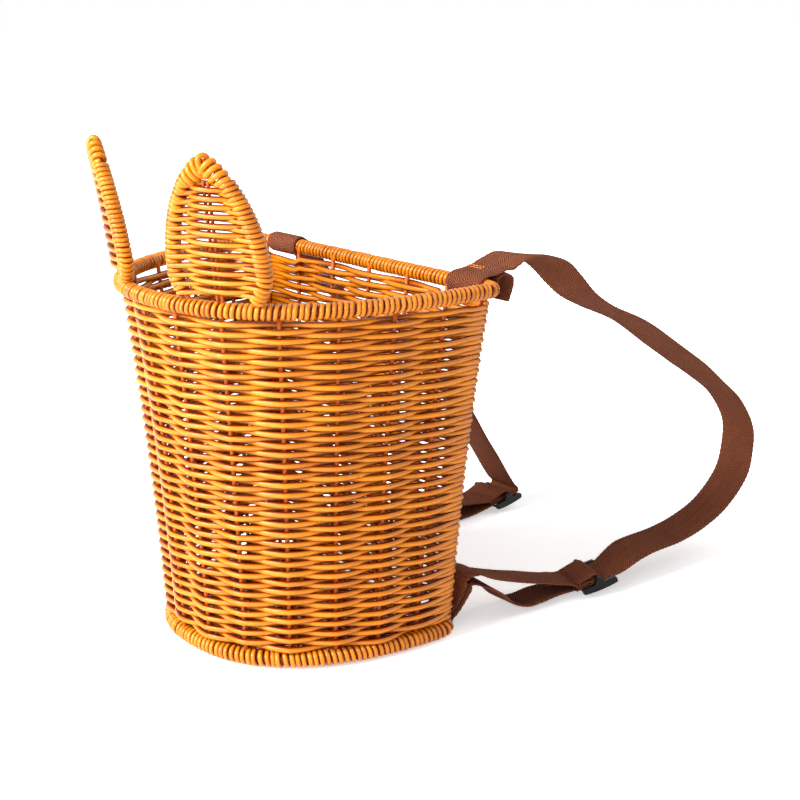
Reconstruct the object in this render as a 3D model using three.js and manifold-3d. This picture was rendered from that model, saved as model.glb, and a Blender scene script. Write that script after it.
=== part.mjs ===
// A child's basket backpack: a D-shaped woven basket on wire stakes, with a bound rim and base,
// two woven leaf-shaped ears on the front rim, and two webbing shoulder straps with sliders.
// Millimetres, +Z up, flat back towards +Y, ears towards -Y, origin at the middle of the base.

import * as THREE from 'three';
import Module from 'manifold-3d';
import { mergeVertices } from 'three/addons/utils/BufferGeometryUtils.js';

const wasm = await Module();
wasm.setup();

// Basket body, outside sizes
const RIM_WIDTH = 200;
const RIM_DEPTH = 150;
const BODY_HEIGHT = 195;
const BASE_WIDTH = 160;
const BASE_DEPTH = 121;
const BACK_OVERHANG = 10; // how far the rim's back stands behind the base's back
const FRONT_FULLNESS = 2.35; // exponent of the bowed front: 2 is an ellipse, more is squarer
const RIM_CORNER_RADIUS = 10;
const BASE_CORNER_RADIUS = 11;

// Bound edges: a strand wound round the rim wire and round the base wire
const RIM_BINDING_DIAMETER = 8.5;
const BASE_BINDING_DIAMETER = 9;
const BINDING_GROOVE = 0.5;
const BINDING_STEP = 9; // along the edge, from ridge to ridge
const BINDING_SIDES = 8;

// Frame and weave
const FRONT_STAKES = 12; // between the two back corners, round the front
const BACK_STAKES = 5; // between the two back corners, along the back
const STAKE_DIAMETER = 2.2;
const STAKE_INSET = 2.7; // of a stake's head, inside the middle of the rim
const WALL_WAIST = 1.8; // how far the wall bows inwards at half height
const STRAND_DIAMETER = 2.6;
const ROW_GAP = 0.35; // least space between two rows
const CLEARANCE = 0.35; // between pieces that touch on the object

// Floor
const FLOOR_THICKNESS = 6;

// Ears
const EAR_HEIGHT = 72; // wire tip above the middle of the rim, along the lean
const EAR_WIDTH = 49; // across the wire where the ear is widest
const EAR_BASE_WIDTH = 35; // across the wire at the rim
const EAR_WIDEST_AT = 18;
const EAR_POINTEDNESS = 1.5; // exponent of the upper outline: 1 is an ellipse, more is more pointed
const EAR_FROM_CENTRE = 46.5; // along the rim, from the middle of the front
const EAR_LEAN = 8.3; // degrees outwards
const EAR_TURN = 11.8; // degrees towards the front, from square to the rim
const EAR_CURL = 0.64; // 0 is a flat ear, 1 follows the rim
const EAR_WIRE_DIAMETER = 2.8;
const EAR_SPINE_DIAMETER = 2.2;
const EAR_STRAND_DIAMETER = 2.5;
const EAR_TURN_STEP = 4.3; // along the ear's wire, from one turn of the strand to the next
const EAR_LAST_TURN = 9; // half width at which the weave stops below the tip

// Straps
const WEBBING_WIDTH = 25;
const WEBBING_THICKNESS = 1.2;
const LOWER_LOOP_WIDTH = 19; // the webbing is drawn together between two stakes
const LOWER_LOOP_SLACK = 0.6; // extra room on the inside of the base edge
const SEAM_REACH = 11; // from the middle of the rim back to the sewn seam
const TAIL_DROP = 16; // of the sewn end below the seam
const RIGHT_STRAP_REACH = 229.5; // from the rim's back to the strap's outermost bend
const LEFT_STRAP_REACH = 168;
const NECK_LENGTH = 62; // from the seam to where the strap hangs free
const CUT_GAP = 0.3; // between two stretches of one webbing

// Sliders
const SLIDER_LENGTH = 22;
const SLIDER_BAR = 1.6;
const SLIDER_RAIL = 3;
const SLIDER_EDGE = 0.5; // rail left round a bar
const SLIDER_BOW = 0.6; // of the rails' underside
const SLIDER_SIDE_PLAY = 0.6;

const strandColour = 0xe8912e;
const stakeColour = 0xb4581a;
const webbingColour = 0x7d4b37;
const sliderColour = 0x151516;
const matter = (color, roughness) => new THREE.MeshStandardMaterial({ color, roughness, metalness: 0 });
const strandMaterial = () => matter(strandColour, 0.42);
const stakeMaterial = () => matter(stakeColour, 0.5);
const webbingMaterial = () => matter(webbingColour, 0.85);
const sliderMaterial = () => matter(sliderColour, 0.38);

const vec = (x, y, z) => new THREE.Vector3(x, y, z);
const UP = vec(0, 0, 1);
const CORNER_STEPS = 8; // of half a back corner
const FRONT_STEPS = 400;
const ROUTE_STEPS = 1200; // in which a strap's length is measured
const bag = new THREE.Group();

function put(name, geometry, material) {
  const mesh = new THREE.Mesh(geometry, material);
  mesh.name = name;
  bag.add(mesh);
  return mesh;
}

// A closed skin over a row of rings with the same number of corners.
// The row closes on itself if loop is true, and has flat ends otherwise.
function skin(rings, loop) {
  const corners = rings[0].length;
  const positions = rings.flat().flatMap((p) => [p.x, p.y, p.z]);
  const index = [];
  const spans = loop ? rings.length : rings.length - 1;
  for (let i = 0; i < spans; i += 1) {
    const a = i * corners;
    const b = ((i + 1) % rings.length) * corners;
    for (let j = 0; j < corners; j += 1) {
      const k = (j + 1) % corners;
      index.push(a + j, a + k, b + k, a + j, b + k, b + j);
    }
  }
  if (!loop) {
    const last = (rings.length - 1) * corners;
    for (let j = 1; j < corners - 1; j += 1) {
      index.push(0, j + 1, j);
      index.push(last, last + j, last + j + 1);
    }
  }
  let volume = 0;
  for (let i = 0; i < index.length; i += 3) {
    const [a, b, c] = [0, 1, 2].map((k) => vec(...positions.slice(3 * index[i + k], 3 * index[i + k] + 3)));
    volume += a.dot(b.cross(c));
  }
  if (volume < 0) {
    for (let i = 0; i < index.length; i += 3) {
      [index[i], index[i + 1]] = [index[i + 1], index[i]];
    }
  }
  const geometry = new THREE.BufferGeometry();
  geometry.setAttribute('position', new THREE.Float32BufferAttribute(positions, 3));
  geometry.setIndex(index);
  geometry.computeVertexNormals();
  return geometry;
}

// A round tube along points, with flat ends; its section turns as little as it can
function tube(points, radius, sides) {
  const tangents = points.map((p, i) => {
    const before = points[Math.max(i - 1, 0)];
    const after = points[Math.min(i + 1, points.length - 1)];
    return after.clone().sub(before).normalize();
  });
  let side = Math.abs(tangents[0].z) < 0.9 ? UP.clone() : vec(0, 1, 0);
  const rings = points.map((p, i) => {
    const t = tangents[i];
    side.addScaledVector(t, -side.dot(t)).normalize();
    const other = t.clone().cross(side);
    const bend = i > 0 && i < points.length - 1 ? points[i].clone().sub(points[i - 1]).normalize().dot(t) : 1;
    const r = radius / Math.sqrt(Math.max(bend, 0.75));
    return Array.from({ length: sides }, (_, s) => {
      const a = (2 * Math.PI * s) / sides;
      return p.clone().addScaledVector(side, r * Math.cos(a)).addScaledVector(other, r * Math.sin(a));
    });
  });
  return skin(rings, false);
}

// The basket's plan at one height: a flat back, two small back corners and a bowed front.
// Distance runs from the right back corner round the front to the left one, then along the back.
class Plan {
  constructor(width, depth, corner, backY) {
    const half = width / 2;
    const bow = depth - corner;
    const points = [];
    const arc = (side, from, to) => {
      for (let i = 0; i <= CORNER_STEPS; i += 1) {
        const a = THREE.MathUtils.degToRad(from + ((to - from) * i) / CORNER_STEPS);
        const x = side * (half - corner) + corner * Math.cos(a);
        points.push(new THREE.Vector2(x, backY - corner + corner * Math.sin(a)));
      }
    };
    const power = (v) => Math.sign(v) * Math.abs(v) ** (2 / FRONT_FULLNESS);
    arc(1, 45, 0);
    for (let i = 1; i < FRONT_STEPS; i += 1) {
      const a = (Math.PI * i) / FRONT_STEPS;
      points.push(new THREE.Vector2(half * power(Math.cos(a)), backY - corner - bow * power(Math.sin(a))));
    }
    arc(-1, 180, 135);
    const leftCorner = points.length - 1;
    arc(-1, 135, 90);
    arc(1, 90, 45);
    this.points = points;
    this.along = [0];
    for (let i = 1; i < points.length; i += 1) {
      this.along.push(this.along[i - 1] + points[i].distanceTo(points[i - 1]));
    }
    this.length = this.along[points.length - 1];
    this.front = this.along[leftCorner];
    this.back = this.length - this.front;
  }

  point(distance) {
    const d = ((distance % this.length) + this.length) % this.length;
    let low = 0;
    let high = this.along.length - 1;
    while (high - low > 1) {
      const middle = (low + high) >> 1;
      if (this.along[middle] > d) high = middle;
      else low = middle;
    }
    const share = (d - this.along[low]) / Math.max(this.along[high] - this.along[low], 1e-9);
    return this.points[low].clone().lerp(this.points[high], share);
  }

  normal(distance) {
    const t = this.point(distance + 0.6).sub(this.point(distance - 0.6)).normalize();
    return vec(-t.y, t.x, 0);
  }

  at(distance, z) {
    const p = this.point(distance);
    return vec(p.x, p.y, z);
  }

  // Where stake j crosses this plan: the corners, then evenly round the front and along the back
  stake(j) {
    const left = FRONT_STAKES + 1;
    if (j <= left) return (this.front * j) / left;
    return this.front + (this.back * (j - left)) / (BACK_STAKES + 1);
  }
}

const rimRadius = RIM_BINDING_DIAMETER / 2;
const baseRadius = BASE_BINDING_DIAMETER / 2;
const rimZ = BODY_HEIGHT - rimRadius;
const baseZ = baseRadius;
const baseBackY = BASE_DEPTH / 2 - baseRadius;
const rimBackY = BASE_DEPTH / 2 + BACK_OVERHANG - rimRadius;
const rimPlan = new Plan(
  RIM_WIDTH - RIM_BINDING_DIAMETER,
  RIM_DEPTH - RIM_BINDING_DIAMETER,
  RIM_CORNER_RADIUS - rimRadius,
  rimBackY,
);
const basePlan = new Plan(
  BASE_WIDTH - BASE_BINDING_DIAMETER,
  BASE_DEPTH - BASE_BINDING_DIAMETER,
  BASE_CORNER_RADIUS - baseRadius,
  baseBackY,
);
const stakeCount = FRONT_STAKES + BACK_STAKES + 2;
const webbingPass = WEBBING_THICKNESS + 2 * CLEARANCE; // a slot that the webbing goes through

// The stakes: wires from the base to the rim, a little bowed
const stakes = [];
for (let j = 0; j < stakeCount; j += 1) {
  const foot = basePlan.at(basePlan.stake(j), baseZ);
  const head = rimPlan.at(rimPlan.stake(j), rimZ);
  const out = basePlan.normal(basePlan.stake(j)).add(rimPlan.normal(rimPlan.stake(j))).normalize();
  stakes.push({ foot, head, out });
}
const stakeAt = (j, z) => {
  const share = (z - baseZ) / (rimZ - baseZ);
  const inset = STAKE_INSET * share + 4 * WALL_WAIST * share * (1 - share);
  return stakes[j].foot.clone().lerp(stakes[j].head, share).addScaledVector(stakes[j].out, -inset);
};
for (let j = 0; j < stakeCount; j += 1) {
  const low = BASE_BINDING_DIAMETER + CLEARANCE;
  const high = BODY_HEIGHT - RIM_BINDING_DIAMETER - CLEARANCE;
  const line = [0, 0.33, 0.67, 1].map((share) => stakeAt(j, low + (high - low) * share));
  put(`stake_${String(j + 1).padStart(2, '0')}`, tube(line, STAKE_DIAMETER / 2, 6), stakeMaterial());
}

// The wall: one strand that runs round and up, outside one stake and inside the next.
// The number of stakes is odd, so each row passes the stakes the other way from the row below.
const strandRadius = STRAND_DIAMETER / 2;
const weaveSide = STAKE_DIAMETER / 2 + CLEARANCE + strandRadius;
const firstRow = BASE_BINDING_DIAMETER + webbingPass + strandRadius;
const lastRow = BODY_HEIGHT - RIM_BINDING_DIAMETER - webbingPass - strandRadius;
const rows = Math.floor((lastRow - firstRow) / (STRAND_DIAMETER + ROW_GAP));
const rowPitch = (lastRow - firstRow) / rows;
const cornerTurn = [40, 0, -40]; // degrees either side of a back corner, so the strand bends round its stake
const strandLine = [];
for (let k = 0; k <= rows * stakeCount; k += 1) {
  const j = k % stakeCount;
  const z = firstRow + (rowPitch * k) / stakeCount;
  const outside = k % 2 === 0;
  const atCorner = j === 0 || j === FRONT_STAKES + 1;
  (atCorner && outside ? cornerTurn : [0]).forEach((degrees) => {
    const out = stakes[j].out.clone().applyAxisAngle(UP, THREE.MathUtils.degToRad(degrees));
    const reach = weaveSide / (degrees ? Math.cos(Math.PI / 9) : 1);
    strandLine.push(stakeAt(j, z).addScaledVector(out, outside ? reach : -weaveSide));
  });
}
const strandRings = strandLine.map((p, k) => {
  const before = strandLine[Math.max(k - 1, 0)];
  const after = strandLine[Math.min(k + 1, strandLine.length - 1)];
  const across = after.clone().sub(before).cross(UP).normalize().multiplyScalar(strandRadius);
  const rise = UP.clone().multiplyScalar(strandRadius);
  return [p.clone().add(across), p.clone().add(rise), p.clone().sub(across), p.clone().sub(rise)];
});
put('wall_weaver', skin(strandRings, false), strandMaterial());

// Where the straps go round the rim and the base: just outside the last stake of the back
const lastBackStake = stakeCount - 1;
const besideStake = STAKE_DIAMETER / 2 + 2 * CLEARANCE;
const upperLoopX = stakeAt(lastBackStake, lastRow).x + besideStake + WEBBING_WIDTH / 2;
const lowerLoopX = stakeAt(lastBackStake, firstRow).x + besideStake + LOWER_LOOP_WIDTH / 2;

// A bound edge: a ring along a plan, with ridges where the strand winds round the wire.
// If onFloor is true the underside is level with the floor, with a recess over each lower strap loop.
function boundEdge(plan, z, radius, onFloor) {
  const ridges = Math.round(plan.length / BINDING_STEP);
  const rings = [];
  for (let i = 0; i < 2 * ridges; i += 1) {
    const distance = (plan.length * i) / (2 * ridges);
    const middle = plan.at(distance, z);
    const out = plan.normal(distance);
    const r = radius - (i % 2 ? BINDING_GROOVE : 0);
    const reach = LOWER_LOOP_WIDTH / 2 + BINDING_STEP / 2 + CLEARANCE;
    const overLoop = middle.y > baseBackY - baseRadius && Math.abs(Math.abs(middle.x) - lowerLoopX) < reach;
    const underside = overLoop ? webbingPass : 0;
    const ring = [];
    for (let s = 0; s < BINDING_SIDES; s += 1) {
      const a = (2 * Math.PI * s) / BINDING_SIDES;
      const p = middle.clone().addScaledVector(out, r * Math.cos(a)).addScaledVector(UP, r * Math.sin(a));
      if (onFloor && Math.sin(a) < -0.5) p.z = underside;
      ring.push(p);
    }
    rings.push(ring);
  }
  return skin(rings, true);
}
put('base_binding', boundEdge(basePlan, baseZ, baseRadius, true), strandMaterial());
put('rim_binding', boundEdge(rimPlan, rimZ, rimRadius, false), strandMaterial());

// The floor fills the base, and leaves a slot along the back for the strap loops
const floorShape = new THREE.Shape();
const floorBack = baseBackY - baseRadius - LOWER_LOOP_SLACK - webbingPass;
const floorCorners = 72;
for (let i = 0; i < floorCorners; i += 1) {
  const distance = (basePlan.length * i) / floorCorners;
  const p = basePlan.at(distance, 0).addScaledVector(basePlan.normal(distance), -baseRadius - CLEARANCE);
  const y = Math.min(p.y, floorBack);
  if (i === 0) floorShape.moveTo(p.x, y);
  else floorShape.lineTo(p.x, y);
}
const floorPlate = new THREE.ExtrudeGeometry(floorShape, { depth: FLOOR_THICKNESS, bevelEnabled: false });
floorPlate.deleteAttribute('normal').deleteAttribute('uv');
put('floor_panel', mergeVertices(floorPlate), strandMaterial());

// The ears: a bent outline wire, a spine, and one strand that goes to and fro round the wire
const lean = THREE.MathUtils.degToRad(EAR_LEAN);
function makeEar(name, side) {
  const centre = rimPlan.front / 2 - side * EAR_FROM_CENTRE;
  const out = rimPlan.normal(centre).applyAxisAngle(UP, -side * THREE.MathUtils.degToRad(EAR_TURN));
  const sideways = out.clone().cross(UP);
  const rise = UP.clone().multiplyScalar(Math.cos(lean)).addScaledVector(out, Math.sin(lean));
  const face = out.clone().multiplyScalar(Math.cos(lean)).addScaledVector(UP, -Math.sin(lean));
  const place = (w, h, d) => {
    const flat = rimPlan.at(centre, rimZ).addScaledVector(sideways, w);
    const foot = flat.lerp(rimPlan.at(centre + w, rimZ), EAR_CURL);
    return foot.addScaledVector(rise, h).addScaledVector(face, d);
  };
  const seat = rimRadius + CLEARANCE;

  // Half the outline in the ear's plane, from the rim to the tip
  const outline = [];
  for (let i = 0; i < 8; i += 1) {
    const share = i / 8;
    const w = EAR_BASE_WIDTH / 2 + ((EAR_WIDTH - EAR_BASE_WIDTH) / 2) * Math.sin((Math.PI / 2) * share);
    outline.push(new THREE.Vector2(w, seat + (EAR_WIDEST_AT - seat) * share));
  }
  for (let i = 0; i <= 12; i += 1) {
    const a = (Math.PI / 2) * (i / 12);
    const w = (EAR_WIDTH / 2) * Math.max(Math.cos(a), 0) ** EAR_POINTEDNESS;
    outline.push(new THREE.Vector2(w, EAR_WIDEST_AT + (EAR_HEIGHT - EAR_WIDEST_AT) * Math.sin(a)));
  }
  const left = outline.map((p) => place(-p.x, p.y, 0));
  const right = outline.slice(0, -1).reverse().map((p) => place(p.x, p.y, 0));
  put(`${name}_wire`, tube([...left, ...right], EAR_WIRE_DIAMETER / 2, 6), stakeMaterial());

  const spineTop = EAR_HEIGHT - EAR_WIRE_DIAMETER / 2 - 2 * CLEARANCE;
  const spineLine = [seat, spineTop / 2, spineTop].map((h) => place(0, h, 0));
  put(`${name}_spine`, tube(spineLine, EAR_SPINE_DIAMETER / 2, 6), stakeMaterial());

  // Distances along half the outline
  const along = [0];
  for (let i = 1; i < outline.length; i += 1) {
    along.push(along[i - 1] + outline[i].distanceTo(outline[i - 1]));
  }
  const onOutline = (distance) => {
    const i = Math.max(1, along.findIndex((a) => a >= distance));
    const share = (distance - along[i - 1]) / (along[i] - along[i - 1]);
    const p = outline[i - 1].clone().lerp(outline[i], share);
    const t = outline[i].clone().sub(outline[i - 1]).normalize();
    return { p, outward: new THREE.Vector2(t.y, -t.x) };
  };
  const strand = EAR_STRAND_DIAMETER / 2;
  const turnRadius = (EAR_WIRE_DIAMETER / 2 + CLEARANCE + strand) / Math.cos(Math.PI / 8);
  const passSpine = EAR_SPINE_DIAMETER / 2 + CLEARANCE + strand;
  const firstTurn = strand + CLEARANCE + 0.65 * turnRadius;
  const line = [];
  let before = null;
  for (let k = 0; ; k += 1) {
    const { p, outward } = onOutline(firstTurn + k * EAR_TURN_STEP);
    if (p.x < EAR_LAST_TURN) break;
    const edge = k % 2 ? -1 : 1;
    if (before) line.push(place(0, (before.y + p.y) / 2, -edge * passSpine));
    for (let i = 0; i <= 4; i += 1) {
      const a = Math.PI / 2 - (Math.PI * i) / 4;
      const reach = turnRadius * Math.cos(a);
      const depth = edge * turnRadius * Math.sin(a);
      line.push(place(edge * (p.x + outward.x * reach), p.y + outward.y * reach, depth));
    }
    before = p;
  }
  put(`${name}_weaver`, tube(line, strand, 5), strandMaterial());
}
makeEar('ear_right', 1);
makeEar('ear_left', -1);

// The direction across webbing that runs along t.
// The roll, in degrees, lifts the +X edge where t points outwards and lowers it where t points inwards.
function acrossFrom(t, roll) {
  const across = vec(1, 0, 0);
  across.addScaledVector(t, -across.dot(t)).normalize();
  return across.applyAxisAngle(t, THREE.MathUtils.degToRad(-roll));
}

// Flat webbing along a line: each sample has a place, a direction, and a roll about it or a direction across
function webbing(samples) {
  return skin(samples.map(({ p, t, roll = 0, width = WEBBING_WIDTH, across = acrossFrom(t, roll) }) => {
    const thick = t.clone().cross(across).normalize().multiplyScalar(WEBBING_THICKNESS / 2);
    const a = p.clone().addScaledVector(across, width / 2);
    const b = p.clone().addScaledVector(across, -width / 2);
    return [a.clone().add(thick), b.clone().add(thick), b.clone().sub(thick), a.clone().sub(thick)];
  }), false);
}

// Samples straight along corner points [x, y, z, width, across], with mitred directions
function mitred(points) {
  const at = points.map((q) => vec(q[0], q[1], q[2]));
  return at.map((p, i) => {
    const t = vec(0, 0, 0);
    if (i > 0) t.add(p.clone().sub(at[i - 1]).normalize());
    if (i < at.length - 1) t.add(at[i + 1].clone().sub(p).normalize());
    return { p, t: t.normalize(), width: points[i][3], across: points[i][4] };
  });
}

// One smooth line through control points [x, y, z, roll], cut into stretches by distance
class Route {
  constructor(points) {
    this.curve = new THREE.CatmullRomCurve3(points.map((q) => vec(q[0], q[1], q[2])), false, 'centripetal');
    this.curve.arcLengthDivisions = ROUTE_STEPS;
    this.length = this.curve.getLength();
    const lengths = this.curve.getLengths(ROUTE_STEPS);
    this.knots = points.map((_, i) => lengths[Math.round((ROUTE_STEPS * i) / (points.length - 1))]);
    this.rolls = points.map((q) => q[3] || 0);
  }

  roll(distance) {
    const i = Math.min(Math.max(this.knots.findIndex((k) => k >= distance), 1), this.knots.length - 1);
    const share = (distance - this.knots[i - 1]) / (this.knots[i] - this.knots[i - 1]);
    return THREE.MathUtils.lerp(this.rolls[i - 1], this.rolls[i], THREE.MathUtils.clamp(share, 0, 1));
  }

  stretch(from, to, steps) {
    return Array.from({ length: steps + 1 }, (_, i) => {
      const distance = from + ((to - from) * i) / steps;
      const u = THREE.MathUtils.clamp(distance / this.length, 0, 1);
      return { p: this.curve.getPointAt(u), t: this.curve.getTangentAt(u), roll: this.roll(distance) };
    });
  }
}

const half = WEBBING_THICKNESS / 2;
const roundRim = rimRadius + CLEARANCE + half;
const roundBase = baseRadius + CLEARANCE + half;
const underBase = CLEARANCE + half;
const layer = WEBBING_THICKNESS + CLEARANCE; // from one sewn layer to the next
const arcPoint = (y, z, radius, degrees) => {
  const a = THREE.MathUtils.degToRad(degrees);
  return [y + radius * Math.cos(a), z + radius * Math.sin(a)];
};

// Two ways a strap leaves the rim, as [reach, height] from the middle of the rim's back.
// Each has the layer that goes over the rim, from the seam, the layer that comes back below it,
// and the sewn end.
const raisedSeam = {
  over: [[SEAM_REACH, roundRim + 1.4], [SEAM_REACH - 4.5, roundRim + 0.5]],
  below: [
    arcPoint(0, 0, roundRim, 315), [roundRim + 1.6, 0.6], [roundRim + 3.4, roundRim - 1.6],
    [SEAM_REACH, roundRim + 1.4 - layer],
  ],
  end: [
    [SEAM_REACH + 4, roundRim - 0.2], [SEAM_REACH + 7.4, roundRim - 2.6],
    [SEAM_REACH + 7.4, roundRim + 1.4 - TAIL_DROP / 2], [SEAM_REACH + 4.2, roundRim + 1.4 - TAIL_DROP],
  ],
};
const hangingSeam = {
  over: [
    [SEAM_REACH + 4.8, -roundRim - 4.2], [roundRim + 5.4, 2.4 - roundRim], arcPoint(0, 0, roundRim, 45),
  ],
  below: [
    [roundRim, -roundRim], [roundRim + 5, -roundRim - 2.2],
    [SEAM_REACH + 4.8 - 0.79 * layer, -roundRim - 4.2 - 0.61 * layer],
  ],
  end: [
    [SEAM_REACH + 4.2, -roundRim - 8.4], [SEAM_REACH + 4.6, -roundRim - 4.2 - TAIL_DROP / 2],
    [SEAM_REACH + 4.8, -roundRim - 4.2 - TAIL_DROP],
  ],
};

// The upper loop: from the seam over the rim, down inside, out below it, back to the seam
// and on as a short end
function upperLoop(x, seam) {
  const round = [90, 135, 180, 225, 270].map((a) => arcPoint(0, 0, roundRim, a));
  const line = [...seam.over, ...round, ...seam.below, ...seam.end];
  return webbing(mitred(line.map(([y, z]) => [x, rimBackY + y, rimZ + z, WEBBING_WIDTH])));
}

// The lower loop: from the returning layer over the base edge, inside, under it and up to the running layer
const loopTop = baseZ + roundBase;
const returnStart = [baseBackY + 14, loopTop + 14.5];
const runEnd = [baseBackY + 16.5, loopTop + 9.5];
const returnAway = [0.32, 0.95]; // direction in which the returning layer leaves the loop
const runAway = [0.54, 0.84]; // and the running layer
function lowerLoop(x) {
  const narrow = LOWER_LOOP_WIDTH;
  const outside = weaveSide + strandRadius + CLEARANCE + half;
  const line = [
    [...returnStart, WEBBING_WIDTH],
    [baseBackY + 12, loopTop + 9.5, WEBBING_WIDTH - 2],
    [baseBackY + 9, loopTop + 4, narrow + 2],
    [baseBackY + outside, loopTop, narrow],
    [baseBackY, loopTop, narrow],
    [...arcPoint(baseBackY - LOWER_LOOP_SLACK, baseZ, roundBase, 135), narrow],
    [...arcPoint(baseBackY - LOWER_LOOP_SLACK, baseZ, roundBase, 180), narrow],
    [baseBackY - LOWER_LOOP_SLACK - roundBase, underBase + 2, narrow],
    [baseBackY - LOWER_LOOP_SLACK - roundBase + 2, underBase, narrow],
    [baseBackY + roundBase - 2, underBase, narrow],
    [baseBackY + roundBase, underBase + 2, narrow],
    [baseBackY + roundBase + 0.2, baseZ + 0.5, narrow],
    [baseBackY + 9.5, loopTop - 1, narrow + 2],
    [baseBackY + 13.5, loopTop + 4.6, WEBBING_WIDTH - 2],
    [...runEnd, WEBBING_WIDTH],
  ];
  return webbing(mitred(line.map(([y, z, width]) => [x, y, z, width])));
}

function toManifold(geometry) {
  const plain = geometry.clone();
  plain.deleteAttribute('normal');
  plain.deleteAttribute('uv');
  const merged = mergeVertices(plain);
  return new wasm.Manifold(new wasm.Mesh({
    numProp: 3,
    vertProperties: new Float32Array(merged.attributes.position.array),
    triVerts: new Uint32Array(merged.index.array),
  }));
}

// A slider: two slim side rails, two outer bars under the running webbing and a middle bar above it
const barRadius = SLIDER_BAR / 2;
const outerBarY = SLIDER_LENGTH / 2 - SLIDER_EDGE - barRadius;
const outerBarZ = -half - CLEARANCE - barRadius;
const middleBarZ = 3 * half + 2 * CLEARANCE + barRadius;
function sliderGeometry() {
  const rise = barRadius + SLIDER_EDGE;
  const end = outerBarY + rise;
  const low = outerBarZ - rise;
  const top = middleBarZ + rise;
  const foot = 3 * rise;
  const profile = new THREE.Shape();
  profile.moveTo(-outerBarY, low);
  profile.quadraticCurveTo(0, low - 2 * SLIDER_BOW, outerBarY, low);
  profile.quadraticCurveTo(end, low, end, outerBarZ);
  profile.quadraticCurveTo(end, half, outerBarY, half);
  profile.lineTo(foot, half);
  profile.bezierCurveTo(1.8 * rise, half, 1.6 * rise, top, 0, top);
  profile.bezierCurveTo(-1.6 * rise, top, -1.8 * rise, half, -foot, half);
  profile.lineTo(-outerBarY, half);
  profile.quadraticCurveTo(-end, half, -end, outerBarZ);
  profile.quadraticCurveTo(-end, low, -outerBarY, low);
  const railShape = { depth: SLIDER_RAIL, bevelEnabled: false, curveSegments: 4 };
  const rail = new THREE.ExtrudeGeometry(profile, railShape);
  const inner = WEBBING_WIDTH / 2 + SLIDER_SIDE_PLAY;
  const turn = new THREE.Matrix4().makeBasis(vec(0, 1, 0), vec(0, 0, 1), vec(1, 0, 0));
  let solid = null;
  [inner, -inner - SLIDER_RAIL].forEach((x) => {
    const side = rail.clone().applyMatrix4(turn).translate(x, 0, 0);
    solid = solid ? solid.add(toManifold(side)) : toManifold(side);
  });
  const barLength = 2 * inner + SLIDER_RAIL;
  const bar = new THREE.CylinderGeometry(barRadius, barRadius, barLength, 8).rotateZ(Math.PI / 2);
  [[-outerBarY, outerBarZ], [0, middleBarZ], [outerBarY, outerBarZ]].forEach(([y, z]) => {
    solid = solid.add(toManifold(bar.clone().translate(0, y, z)));
  });
  const mesh = solid.getMesh();
  const geometry = new THREE.BufferGeometry();
  geometry.setAttribute('position', new THREE.Float32BufferAttribute(mesh.vertProperties, 3));
  geometry.setIndex(Array.from(mesh.triVerts));
  geometry.computeVertexNormals();
  return geometry;
}

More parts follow.
